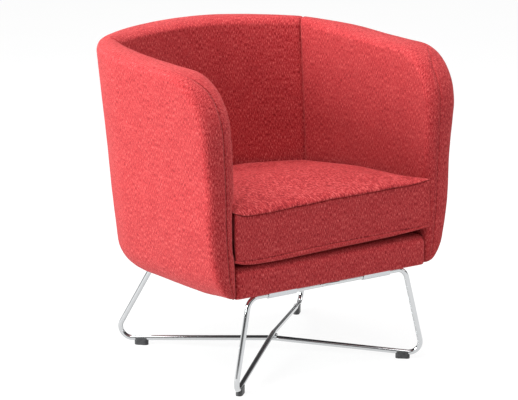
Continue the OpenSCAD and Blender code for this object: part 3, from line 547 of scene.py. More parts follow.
WRAP = [(0.030, -1.4), (0.018, -0.7), (0.007, -0.05), (0.0008, 0.32)]
N_ROUND, N_FACE = 9, 26
N_ROWS = len(WRAP) + N_ROUND + N_FACE


def row(i, j):
    """Height of row j at station i, how far it is turned under, and the fullness of the front there."""
    s = station(abs(i))
    z0 = low_z(s[1])
    rb = ROUND_H
    if j < len(WRAP):
        t, e = WRAP[j]
        return z0, t, e
    j -= len(WRAP)
    if j < N_ROUND:
        z = z0 + rb * (1 - math.cos(math.pi / 2 * j / N_ROUND))
    else:
        z = mix(z0 + rb, s[4], (j - N_ROUND) / N_FACE)
    return z, 0.0, clamp(0.32 + 0.68 * math.sqrt(clamp(1 - (1 - (z - z0) / 0.016) ** 2)) if z - z0 < 0.016 else 1.0)


N_CAP_O, N_CAP_I = 16, 26


def cap_out(i, m):
    return (1 - math.cos(math.acos(1 - 2 * seam_at(i)) * (m + 1) / N_CAP_O)) / 2


def cap_in(i, m):
    a = math.acos(1 - 2 * (seam_at(i) + 0.0008))
    k = (m + 1) / N_CAP_I
    k = k + 0.25 * k * (1 - k) * (1 if k > 0.5 else 2 * k)
    return (1 - math.cos(math.pi + (a - math.pi) * k)) / 2



def rim_rise(i):
    """The rim is a little flatter over the left half of the back and along the arms."""
    return RIM * (1 - 0.23 * math.exp(-(((i + 4) / 4.6) ** 2)) - 0.13 * math.exp(-(((abs(i) - 17) / 3.0) ** 2)))


def rim_point(i, z, w, e, t=0.0, top=False):
    s = station(abs(i))
    o, n = outer(s, z), inner(abs(i), s, z)
    if t:
        o = o + (n - o).normalized() * min(t, (n - o).length * 0.45)
    d = rim_dir(i) if top else Vector((0, -1, 0))
    # the inner shoulder of the rim is rounder than the outer one
    p = o.lerp(n, w) + d * (rim_rise(i) * bulge(w, 2.05 if top and w > 0.5 else FULL) * e)
    if e < 0:
        p = o.lerp(n, w) - d * (RIM * -e)
    return flip(p, i)


def make_cover(name, stations, nr, rowf, face, cap, steps, left, right, outward, material):
    V, W, D, F = [], [], [], []

    def add(p, w, d):
        V.append(p)
        W.append(w)
        D.append(d)
        return len(V) - 1

    grid = [[add(*face(i, j)) for j in range(nr + 1)] for i in stations]
    edge = []
    if left:
        edge += [(grid[0][j], stations[0], j) for j in range(nr)]
    edge += [(grid[c][nr], i, nr) for c, i in enumerate(stations)]
    if right:
        edge += [(grid[-1][j], stations[-1], j) for j in range(nr - 1, -1, -1)]
    cols = []
    for first, i, j in edge:
        ids = [first]
        c, last = 0.0, V[first]
        for m in range(steps):
            p = cap(i, j, m)
            c += (p - last).length
            last = p
            if j == nr:
                a = math.pi / 2 * max(0, abs(i) - S1 - S2 - S3) / S4
                sg = -1 if i < 0 else 1
                w = (W[first][0] + sg * c * math.sin(a), W[first][1] + c * math.cos(a))
            else:
                w = (W[first][0] + (-1 if i < 0 else 1) * c, W[first][1])
            ids.append(add(p, w, 0.0))
        # distance back from the free edge, for the seam
        back = 0.0
        for m in range(len(ids) - 1, 0, -1):
            D[ids[m]] = (back, i, j)
            back += (V[ids[m]] - V[ids[m - 1]]).length
        D[ids[0]] = (min(back, 1.0), i, j) if not isinstance(D[ids[0]], tuple) else D[ids[0]]
        cols.append(ids)
    for c in range(len(stations) - 1):
        for j in range(nr):
            q = (grid[c][j], grid[c][j + 1], grid[c + 1][j + 1], grid[c + 1][j])
            F.append(q if outward else q[::-1])
    for k in range(len(cols) - 1):
        for m in range(steps):
            q = (cols[k][m], cols[k][m + 1], cols[k + 1][m + 1], cols[k + 1][m])
            F.append(q if outward else q[::-1])
    o = piece(name, V, F, W, material)
    return o, V, D, cols, grid


def run_down(s, z):
    """Height measured along the cloth, so that the weave keeps its size round the lower edge."""
    zr = low_z(s[1]) + ROUND_H
    if z >= zr:
        return z
    c, last = 0.0, outer(s, zr)
    for k in range(1, 15):
        q = outer(s, mix(zr, z, math.sin(math.pi / 2 * k / 14)))
        c += (q - last).length
        last = q
    return zr - c


def outer_face(i, j):
    z, t, e = row(i, j)
    s = station(abs(i))
    p = outer(s, z)
    if t:
        n = inner(abs(i), s, z)
        p = p + (n - p).normalized() * min(t, (n - p).length * 0.45)
    return flip(p, i), (arc_at(i), run_down(s, z) - t), 0.0


def outer_cap(i, j, m):
    z, t, e = row(i, j)
    return rim_point(i, z, cap_out(i, m), e if j < N_ROWS else 1.0, t, j == N_ROWS)


tub, V, D, cols, grid = make_cover("outer_cover_fabric", OUT_I, N_ROWS, row, outer_face, outer_cap, N_CAP_O, True, True, True, red)
depth = np.zeros(len(V))
for k, d in enumerate(D):
    if isinstance(d, tuple):
        depth[k] = groove(d[0], seam_depth(d[1]), 0.0016)
# upright seams on the hidden side, where the arms' outer cloth meets the back's
for q, i in enumerate(OUT_I):
    d = abs(abs(i) - BACK_SEAM) * 0.0168
    if d < 0.012:
        for v in grid[q]:
            depth[v] += groove(d, 0.0021, 0.0015)
for k, p in enumerate(V):
    depth[k] += 0.0007 * wave(p, 9.0, 3.0) + 0.00035 * wave(p, 34.0, 8.0)
# puckers where the cover is pulled under the arm fronts
for k, p in enumerate(V):
    if p.y < -0.25:
        z = p.z - low_z(p.y)
        depth[k] += 0.0011 * math.exp(-((z - 0.006) / 0.012) ** 2) * wave((p.x, p.y, 0), 75.0, 5.0)
press(tub, depth)
seam_outer = [ids[-1] for ids in cols]
tub_seam_path = [Vector(tub.data.vertices[k].co) for k in seam_outer]
tub_seam_rows = [(D[ids[-1]][1], D[ids[-1]][2]) for ids in cols]
thicken(tub, 0.0014)
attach(tub, "chair")
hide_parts("outer_cover", "left_arm_wadding", "right_arm_wadding", "back_wadding", "edge_roll")

# inner covers: the face down to the deck, and the rim back to the long seam
NI_ROWS = 34


def inner_low(i):
    s = station(abs(i))
    p = inner(abs(i), s, 0.29)
    return mix(low_z(s[1]) + 0.0005, deck_z(p.y) - 0.010, smooth(-0.285, -0.262, p.y))


def inner_rowz(i, j):
    s = station(abs(i))
    if abs(i) > NS - 1e-6:
        lo = len(WRAP)
        k = lo + (N_ROWS - lo) * j / NI_ROWS
        a = int(math.floor(k))
        b = min(N_ROWS, a + 1)
        za, zb = row(i, a)[0], row(i, b)[0]
        ea, eb = row(i, a)[2], row(i, b)[2]
        return mix(za, zb, k - a), mix(ea, eb, k - a)
    # rows grade from the front edge's spacing to an even spacing
    g = smooth(-0.307, -0.25, s[1])
    z_even = mix(inner_low(i), s[4], j / NI_ROWS)
    lo = len(WRAP)
    k = lo + (N_ROWS - lo) * j / NI_ROWS
    a = int(math.floor(k))
    b = min(N_ROWS, a + 1)
    z_front = mix(row(i, a)[0], row(i, b)[0], k - a)
    f = (z_front - row(i, lo)[0]) / (s[4] - row(i, lo)[0])
    z_front = mix(inner_low(i), s[4], f)
    return mix(z_front, z_even, g), 1.0


def inner_face(i, j):
    z, e = inner_rowz(i, j)
    s = station(abs(i))
    p = flip(inner(abs(i), s, z), i)
    if abs(i) <= IC:
        u = p.x
    else:
        u = (1 if i > 0 else -1) * (0.5 + CREASE_Y - p.y)
    return p, (u, z), 0.0


def inner_cap(i, j, m):
    z, e = inner_rowz(i, j)
    return rim_point(i, z, cap_in(i, m), e, 0.0, j == NI_ROWS)


def inner_cover(name, stations, left, right, replaced):
    o, V, D, cols, grid = make_cover(name, stations, NI_ROWS, None, inner_face, inner_cap, N_CAP_I, left, right, False, red)
    depth = np.zeros(len(V))
    for k, d in enumerate(D):
        if isinstance(d, tuple):
            depth[k] = groove(d[0], seam_depth(d[1]), 0.0014)
            depth[k] -= 0.0005 * math.exp(-(((d[0] - 0.0048) / 0.0012) ** 2)) * on_front(d[1])
    ends = []
    if abs(abs(stations[0]) - IC) < 0.1:
        ends.append(0)
    if abs(abs(stations[-1]) - IC) < 0.1:
        ends.append(-1)
    # the upright seams at the rear corners
    lookup = {}
    for c in range(len(stations)):
        for j in range(NI_ROWS + 1):
            lookup[grid[c][j]] = c
    for q, ids in enumerate(cols):
        for v in ids[1:]:
            lookup.setdefault(v, min(len(stations) - 1, max(0, q - (NI_ROWS if left else 0))))
    for e in ends:
        ref = stations[e]
        for v, c in lookup.items():
            s_d = abs(stations[c] - ref) * 0.032
            if s_d < 0.02:
                depth[v] += -0.0030 * math.exp(-((s_d / 0.0026) ** 2))
    for k, p in enumerate(V):
        # close to the long seam the cloth follows the outer cover's surface
        near_seam = 1 - smooth(0.0, 0.024, D[k][0]) if isinstance(D[k], tuple) else 0.0
        depth[k] += mix(0.0011 * wave(p, 8.0, 11.0) + 0.0004 * wave(p, 30.0, 2.0), 0.0007 * wave(p, 9.0, 3.0) + 0.00035 * wave(p, 34.0, 8.0), near_seam)
        # the cushion's front corner presses a hollow into the arm
        depth[k] -= 0.0045 * math.exp(-(((p[1] + 0.316) / 0.011) ** 2)) * smooth(0.316, 0.336, p[2]) * (1 - smooth(0.432, 0.450, p[2])) * (1 - near_seam)
    press(o, depth)
    o.data.update()
    for e in ends:
        ref = stations[e]
        s = station(abs(ref))
        across = Vector((s[0], s[1], 0)) - Vector((inner(abs(ref), s, 0.6).x, inner(abs(ref), s, 0.6).y, 0))
        side = flip(Vector((across.y, -across.x, 0)).normalized(), ref)
        at = {v: V[v] for v, c in lookup.items() if c == (0 if e == 0 else len(stations) - 1)}
        for v, p in at.items():
            n = Vector(o.data.vertices[v].normal)
            n = (n - side * n.dot(side)).normalized()
            o.data.vertices[v].co = p - n * 0.0024
    o.data.update()
    path, normals = [], []
    for ids in cols:
        c = 0.0
        if on_front(D[ids[-1]][1]) < 0.5:
            continue
        for m in range(len(ids) - 1, 0, -1):
            step = (V[ids[m - 1]] - V[ids[m]]).length
            if c + step >= 0.0048:
                w = (0.0048 - c) / step
                vm = o.data.vertices
                path.append(Vector(vm[ids[m]].co).lerp(Vector(vm[ids[m - 1]].co), w))
                normals.append(Vector(vm[ids[m]].normal).lerp(Vector(vm[ids[m - 1]].normal), w))
                break
            c += step
    thicken(o, 0.0014)
    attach(o, "chair")
    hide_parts(*replaced)
    return o, path, normals


def dense_end(a, b, n, at_a=True):
    """Stations from a to b, close together near the seam end."""
    out = [mix(a, b, (k / n) ** 1.7) for k in range(n + 1)] if at_a else [mix(b, a, (k / n) ** 1.7) for k in range(n, -1, -1)]
    return out


arm_r = dense_end(IC, IC + 3, 14)[:-1] + spread(IC + 3, S1 + S2 + S3, 20)[:-1] + spread(S1 + S2 + S3, NS, 26)
arm_l = [-i for i in arm_r[::-1]]
mid = dense_end(-IC, -IC + 2, 12)[:-1] + spread(-IC + 2, IC - 2, 36)[:-1] + [-i for i in dense_end(-IC, -IC + 2, 12)[::-1]]
left_in, path_l, norm_l = inner_cover("inner_left_fabric", arm_l, True, False, ["inner_left_cover", "left_arm_foam"])
right_in, path_r, norm_r = inner_cover("inner_right_fabric", arm_r, False, True, ["inner_right_cover", "right_arm_foam"])
back_in, path_b, norm_b = inner_cover("inner_back_fabric", mid, False, False, ["inner_back_cover", "back_foam"])
for nm, pa, no in (("left", path_l, norm_l), ("right", path_r, norm_r)):
    st = stitches("edge_stitches_" + nm, pa, no)
    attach(st, "chair")

# ------------------------------------------------------------------ front rail cover and deck
def front_rail():
    """Padded cover over the front rail: a profile carried across, with rounded, tucked ends."""
    prof = []
    y0, zb, zt = -0.3276, 0.0, 0.069

    def arcp(yc, zc, r, a, b, n):
        return [(yc + r * math.cos(math.radians(mix(a, b, k / n))), zc + r * math.sin(math.radians(mix(a, b, k / n)))) for k in range(n + 1)]

    prof += [(-0.281, zb), (-0.30, zb), (-0.314, zb)]
    prof += arcp(y0 + 0.008, zb + 0.008, 0.008, 270, 180, 8)
    prof += [(y0, mix(zb + 0.008, zt - 0.022, k / 12)) for k in range(1, 12)]
    prof += arcp(y0 + 0.022, zt - 0.022, 0.022, 180, 90, 12)
    prof += [(-0.300, zt), (-0.292, zt), (-0.284, zt), (-0.2685, zt), (-0.2672, zt - 0.003)]
    run = [0.0]
    for a, b in zip(prof, prof[1:]):
        run.append(run[-1] + math.hypot(b[0] - a[0], b[1] - a[1]))
    X = 0.2536
    xs = [-X] + [-X + 0.012 * (1 - math.cos(math.pi / 2 * k / 8)) for k in range(1, 9)] + spread(-X + 0.012, X - 0.012, 90)[1:-1]
    xs += [X - 0.012 * (1 - math.cos(math.pi / 2 * k / 8)) for k in range(8, 0, -1)] + [X]
    V, W, F = [], [], []
    for x in xs:
        d = max(0.0, abs(x) - (X - 0.012)) / 0.012
        tuck = 0.0065 * (1 - math.sqrt(max(0.0, 1 - d * d)))
        for k, (y, z) in enumerate(prof):
            f = smooth(-0.312, -0.3276, y) if y < -0.312 else 0.0
            puff = 0.0012 * (1 - d) * math.sin(math.pi * clamp((z - zb) / (zt - zb))) * f
            yy = y + tuck * f - puff
            zz = z - tuck * 0.55 * smooth(0.035, 0.069, z) * (1 if y < -0.275 else 0)
            nz = wave((x, y, z), 14.0, 6.0) * 0.0006 + wave((x, y, z), 60.0, 9.0) * 0.0003
            wide = 1 + (0.0160 * z) / X * smooth(0.5, 1.0, abs(x) / X)
            V.append(seat_plane((x * wide, yy - nz * f, zz + (0 if f else nz * 0.5))))
            W.append((x, run[k]))
    n = len(prof)
    rows_x = len(xs)
    first, last = V[:n], V[-n:]

    def fold(column, sx):
        # the end turns the corner and runs back beside the arm, out of sight
        out = []
        for g, dx in ((0.12, 0.0006), (0.35, 0.0010), (0.7, 0.0012), (1.0, 0.0012)):
            out.append([Vector((p.x + sx * dx, mix(p.y, max(p.y, -0.284), g), mix(p.z, 0.262, 0.06 * g))) for p in column])
        return out

    V = [p for c in fold(first, -1)[::-1] for p in c] + V + [p for c in fold(last, 1) for p in c]
    W = W[:n] * 4 + W + W[-n:] * 4
    for a in range(rows_x + 7):
        for b in range(n - 1):
            F.append((a * n + b, (a + 1) * n + b, (a + 1) * n + b + 1, a * n + b + 1))
    o = piece("front_rail_fabric", V, F, W, red)
    thicken(o, 0.0013)
    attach(o, "chair")
    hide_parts("front_rail_cover", "front_rail_foam")
    # sewn line between this cover and the platform cloth
    path = [seat_plane((x, -0.2705, 0.0693)) for x in spread(-0.247, 0.247, 120)]
    st = stitches("rail_stitches", path, [(0, 0, 1)] * len(path))
    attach(st, "chair")


front_rail()


def deck():
    """Platform cloth under the cushion, pulled over the thin foam."""
    V, W, F = [], [], []
    nx, ny = 60, 60
    for a in range(nx + 1):
        for b in range(ny + 1):
            u = -1 + 2 * a / nx
            v = b / ny
            y_mid = mix(-0.2686, 0.0, v)
            z_ref = 0.29
            # width and rear limit follow the inner faces
            yr = inner_y(abs(u) * 0.236, z_ref) - 0.004
            y = mix(-0.2686, yr, v)
            s = (y - cy) / (crease_at(z_ref) - cy)
            xlim = 0.2535 if y < cy else 0.2565 - 0.0175 * clamp(s) ** 2
            x = u * xlim
            edge = min(1 - abs(u), v * 1.2 + 0.02 if v < 0.5 else 1, 1 - v)
            sink = 0.010 * math.exp(-((edge * 0.25) / 0.010) ** 2)
            tuft = 0.0008 * wave((x, y, 0), 10.0, 4.0) + 0.0005 * wave((x, y, 0), 45.0, 1.0)
            front = smooth(0.0, 0.06, v)
            z = mix(0.0672, 0.0783, front) - sink * front + tuft - 0.0028 * math.sin(math.pi * v) * (1 - u * u)
            V.append(seat_plane((x, y, z)))
            W.append((x, y))
    for a in range(nx):
        for b in range(ny):
            F.append((a * (ny + 1) + b, (a + 1) * (ny + 1) + b, (a + 1) * (ny + 1) + b + 1, a * (ny + 1) + b + 1))
    o = piece("platform_fabric", V, F, W, deck_mat)
    thicken(o, 0.0009)
    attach(o, "chair")
    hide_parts("deck_cloth", "deck_foam")


deck()


def dust_cover():
    """Thin cloth tacked under the seat, a little slack between its tacks."""
    rim_pts = []
    for i in spread(-20, 20, 150):
        s = station(abs(i))
        z = low_z(s[1]) + 0.0015
        o_, n_ = outer(s, z), inner(abs(i), s, z)
        rim_pts.append(flip(o_ + (n_ - o_).normalized() * 0.0065, i))
    loop = [(-0.246, -0.280)] + [(p.x, p.y) for p in rim_pts] + [(0.246, -0.280)]
    front = [(x, -0.280) for x in spread(0.246, -0.246, 60)[1:-1]]
    loop = loop + front
    n = len(loop)
    c = (0.0, -0.05)
    rings = [1.0, 0.992, 0.975, 0.95, 0.9, 0.82, 0.7, 0.55, 0.38, 0.2, 0.06]
    V, W, F = [], [], []
    run = 0.0
    for r, f in enumerate(rings):
        for k, (x, y) in enumerate(loop):
            px, py = c[0] + (x - c[0]) * f, c[1] + (y - c[1]) * f
            d = (1 - f) * 0.3
            held = math.exp(-(((py - 0.098) / 0.034) ** 2)) * (1 - smooth(0.21, 0.24, abs(px)))
            held = max(held, math.exp(-(((py + 0.290) / 0.030) ** 2)))
            sag = 0.004 * (1 - math.exp(-d / 0.05)) * (1 - held)
            pucker = 0.0009 * math.exp(-d / 0.018) * math.sin(k * 2 * math.pi / 4.0)
            fold = 0.0009 * wave((px, py, 0), 22.0, 7.0) * (1 - held) if r else 0
            V.append(seat_plane((px, py, 0.0006 - sag + (pucker * (1 - held) if r else 0) + fold)))
            W.append((px, py))
    for r in range(len(rings) - 1):
        for k in range(n):
            a, b = r * n + k, r * n + (k + 1) % n
            F.append((a, b, b + n, a + n)[::-1])
    F.append(tuple((len(rings) - 1) * n + k for k in range(n))[::-1])
    o = piece("dust_cover_fabric", V, F, W, under_mat)
    me = o.data
    me.update()
    # face down
    nz = sum(p.normal.z * p.area for p in me.polygons)
    if nz > 0:
        me.flip_normals()
    thicken(o, 0.0006)
    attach(o, "chair")
    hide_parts("dust_cover")


dust_cover()

# ------------------------------------------------------------------ base
ROD = 0.006


def rod_path(zc, sx):
    tz = 0.220 - math.tan(TILT) * (0.0925 + 0.3055)
    pts = [(0.00003, -0.3055, 0.220), (0.212, -0.3055, 0.220), (0.259, -0.3195, 0.0115), (0, -0.0875, zc),
           (-0.273, 0.1845, 0.0115), (-0.210, 0.0925, tz), (-0.00003, 0.0925, tz)]
    pts = [Vector((sx * x, y, z)) for x, y, z in pts]
    out = [pts[0]]
    for k in range(1, len(pts) - 1):
        a = (pts[k] - pts[k - 1]).normalized()
        b = (pts[k + 1] - pts[k]).normalized()
        turn = math.acos(clamp(a.dot(b), -1, 1))
        r = 0.090 if k == 3 else 0.028
        reach = r * math.tan(turn / 2)
        s = pts[k] - a * reach
        c = pts[k] + (b - a).normalized() * (r / math.cos(turn / 2))
        x = (s - c).normalized()
        n = max(4, int(turn * 14))
        # a straight run is cut into short lengths, so the reflections run true
        length = (s - out[-1]).length
        m = max(1, int(length / 0.03))
        for q in range(1, m):
            out.append(out[-1].lerp(s, 1 / (m - q + 1)))
        for q in range(n + 1):
            t = turn * q / n
            out.append(c + (x * math.cos(t) + a * math.sin(t)) * r)
    out.append(pts[-1])
    return out


for nm, zc, sx, rep in (("rod_lower", 0.035, 1, "base_rod_lower"), ("rod_upper", 0.0471, -1, "base_rod_upper")):
    o = sweep(nm, rod_path(zc, sx), ROD, chrome, 48)
    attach(o, "chair")
    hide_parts(rep)


def weld_beads():
    """Ground and plated weld fillets in the corners of the crossing."""
    V, F = [], []
    centre = Vector((0, -0.0875, 0.041))
    for k, (dx, dy) in enumerate(((1, 0), (-1, 0), (0, 1), (0, -1))):
        at = centre + Vector((dx * 0.0080, dy * 0.0080, 0))
        base = len(V)
        n, m = 20, 12
        for a in range(n):
            for b in range(m + 1):
                th, ph = 2 * math.pi * a / n, math.pi * b / m
                d = Vector((math.sin(ph) * math.cos(th), math.sin(ph) * math.sin(th), math.cos(ph)))
                ripple = 1 + 0.05 * math.sin(9 * ph + k) + 0.05 * wave(d * 3, 1.0, k)
                V.append(at + Vector((d.x * (0.0044 if dx else 0.0030), d.y * (0.0044 if dy else 0.0030), d.z * 0.0034)) * ripple)
        for a in range(n):
            for b in range(m):
                p, q = base + a * (m + 1) + b, base + ((a + 1) % n) * (m + 1) + b
                F.append((p, p + 1, q + 1, q))
    o = piece("weld_fillets", V, F, None, chrome)
    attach(o, "chair")
    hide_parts("frame_welds")


weld_beads()

# ------------------------------------------------------------------ cushion
CW, CF, CB, EAR = 0.250, -0.3278, 0.179, 0.0125
BAND, FALL, CROWN = 0.108, 0.025, 0.026
CZ = RAIL_TOP + 0.0212 + 0.0001
PC = Vector((0, -0.075))


def plan_points():
    P = [(CW + EAR, CF, 0.0035), (CW, CF + 0.0228, 0.030), (CW + 0.004, -0.090, 0.3), (CW - 0.010, CB - 0.063, 0.030), (0.175, CB - 0.023, 0.09), (0.110, CB, 0.09)]
    P += [(-x, y, r) for x, y, r in P[::-1]]
    out = []
    n = len(P)
    for k in range(n):
        p = Vector(P[k][:2])
        u = (Vector(P[k - 1][:2]) - p).normalized()
        v = (Vector(P[(k + 1) % n][:2]) - p).normalized()
        r = P[k][2]
        h = math.acos(clamp(u.dot(v), -1, 1)) / 2
        c = p + (u + v).normalized() * (r / math.sin(h))
        s, e = p + u * (r / math.tan(h)) - c, p + v * (r / math.tan(h)) - c
        t = math.acos(clamp(s.normalized().dot(e.normalized()), -1, 1))
        m = 14
        for j in range(m + 1):
            out.append(c + (s * math.sin(t * (1 - j / m)) + e * math.sin(t * j / m)) / math.sin(t))
    # the cushion lies a little to the right at its front corners
    for q in out:
        far = math.hypot(abs(q.x) - (CW + EAR), q.y - CF)
        q.x += 0.008 * math.exp(-((far / 0.034) ** 2)) if q.x > 0 else 0.003 * math.exp(-((far / 0.045) ** 2))
    return out


def resample(loop, n, finer=0.0):
    """n points along the loop, closer together at the two front corners."""
    pts = loop + [loop[0]]
    run = [0.0]
    for a, b in zip(pts, pts[1:]):
        run.append(run[-1] + (b - a).length)
    t = np.linspace(0, run[-1], 8001)
    x, y = np.interp(t, run, [p.x for p in pts]), np.interp(t, run, [p.y for p in pts])
    far = np.hypot(np.abs(x) - (CW + EAR), y - CF)
    load = np.concatenate([[0.0], np.cumsum(1 + finer * np.exp(-((far[1:] / 0.022) ** 2)))])
    at = np.interp(np.linspace(0, load[-1], n, endpoint=False), load, t)
    return [Vector((a, b)) for a, b in zip(np.interp(at, t, x), np.interp(at, t, y))], list(at)


NC = 460
PLAN, ALONG = resample(plan_points(), NC, 4.0)
PNORM = []
for k in range(NC):
    t = PLAN[(k + 1) % NC] - PLAN[k - 1]
    PNORM.append(Vector((t.y, -t.x)).normalized())


def corner_of(p):
    """1 at a front corner, falling to 0 away from it."""
    d = math.hypot(abs(p[0]) - (CW + EAR - 0.002), p[1] - (CF + 0.002))
    return math.exp(-((d / 0.022) ** 2))


def plane_top(y):
    return BAND - FALL * (y - CF)


# Worn shape of the front, in millimetres along it: the upper seam, the lower seam and the edge below it
SHAPE_X = [-0.262, -0.254, -0.235, -0.209, -0.149, -0.077, -0.010, 0.07, 0.16, 0.22, 0.250, 0.262]
SHAPE_TOP = [1.5, -2.0, -4.6, -6.2, -5.4, -2.4, 0.2, 0.8, 2.4, 3.2, 3.6, 4.4]
SHAPE_SEAM = [-3.5, -5.0, -8.5, -9.6, -9.6, -7.0, -4.6, -3.8, -2.5, -1.8, -0.8, 1.0]
SHAPE_LOW = [5.5, 2.0, -3.5, -6.4, -7.2, -5.2, -3.4, -1.8, 0.4, 3.6, 6.5, 9.0]


def shape(x, table):
    """The table, smoothed over a few millimetres."""
    return sum(float(np.interp(x + d, SHAPE_X, table)) for d in (-0.012, -0.006, 0, 0.006, 0.012)) / 5000


def near_front(y):
    return math.exp(-(((y - CF) / 0.060) ** 2))


def droop(y):
    return clamp((-0.272 - y) / 0.045) ** 1.3


def crown_share(x, y):
    """The crown sinks towards the back, and at the two worn front corners."""
    d = math.hypot(abs(x) - (CW + EAR), y - CF)
    return (1 - 0.86 * clamp((y + 0.100) / 0.190) ** 1.35) * (1 - 0.55 * math.exp(-((d / 0.055) ** 2)))


def fill_cushion():
    """Swells a closed form with cloth simulation, held along its two seams."""
    V, F = [], []
    n = 160
    loop, _ = resample(plan_points(), n)
    levels = [(0.06, 0.006), (0.012, 0.0045), (0.005, 0.014), (0.006, 0.05), (0.006, 0.08), (0.006, 0.1), (0.012, 0.112), (0.05, 0.121), (0.12, 0.124)]
    for g, z in levels:
        for p in loop:
            v = p - PC
            q = PC + v * ((v.length - g) / v.length)
            h = z * (1 - FALL * (q.y - CF) / BAND)
            V.append((q.x, q.y, h))
    for r in range(len(levels) - 1):
        for k in range(n):
            a, b = r * n + k, r * n + (k + 1) % n
            F.append((a, b, b + n, a + n))
    F.append(tuple(range(n))[::-1])
    F.append(tuple((len(levels) - 1) * n + k for k in range(n)))
    o = piece("cushion_fill", V, F)
    rm = o.modifiers.new("remesh", "REMESH")
    rm.mode = "VOXEL"
    rm.voxel_size = 0.006
    bpy.context.view_layer.objects.active = o
    o.select_set(True)
    bpy.ops.object.modifier_apply(modifier=rm.name)
    start = np.array([v.co[:] for v in o.data.vertices])
    pins = o.vertex_groups.new(name="seams")
    flat = np.array([(p.x, p.y) for p in loop])
    for k, c in enumerate(start):
        d = np.sqrt(((flat - c[:2]) ** 2).sum(1).min())
        zt = plane_top(c[1])
        near_top = d < 0.014 and abs(c[2] - zt) < 0.008
        near_low = d < 0.014 and abs(c[2] - 0.012) < 0.007
        if near_top or near_low:
            pins.add([k], 1.0, "REPLACE")
    cl = o.modifiers.new("cloth", "CLOTH")
    cl.settings.quality = 6
    cl.settings.mass = 0.3
    cl.settings.tension_stiffness = 18
    cl.settings.compression_stiffness = 18
    cl.settings.shear_stiffness = 6
    cl.settings.bending_stiffness = 0.6
    cl.settings.use_pressure = True
    cl.settings.uniform_pressure_force = 4.0
    cl.settings.vertex_group_mass = "seams"
    cl.settings.effector_weights.gravity = 0
    cl.collision_settings.use_collision = False
    cl.point_cache.frame_start = 1
    cl.point_cache.frame_end = 20
    sc = bpy.context.scene
    for f in range(1, 21):
        sc.frame_set(f)
    dg = bpy.context.evaluated_depsgraph_get()
    moved = np.array([v.co[:] for v in o.evaluated_get(dg).to_mesh().vertices])
    step = moved - start
    ln = np.linalg.norm(step, axis=1, keepdims=True)
    step *= np.minimum(1.0, 0.026 / np.maximum(ln, 1e-9))
    o.modifiers.remove(cl)
    o.data.vertices.foreach_set("co", (start + step).astype(np.float32).ravel())
    o.data.update()
    sc.frame_set(1)
    me = o.data
    tree = BVHTree.FromPolygons([v.co[:] for v in me.vertices], [tuple(p.vertices) for p in me.polygons])
    bpy.data.objects.remove(o, do_unlink=True)
    return tree


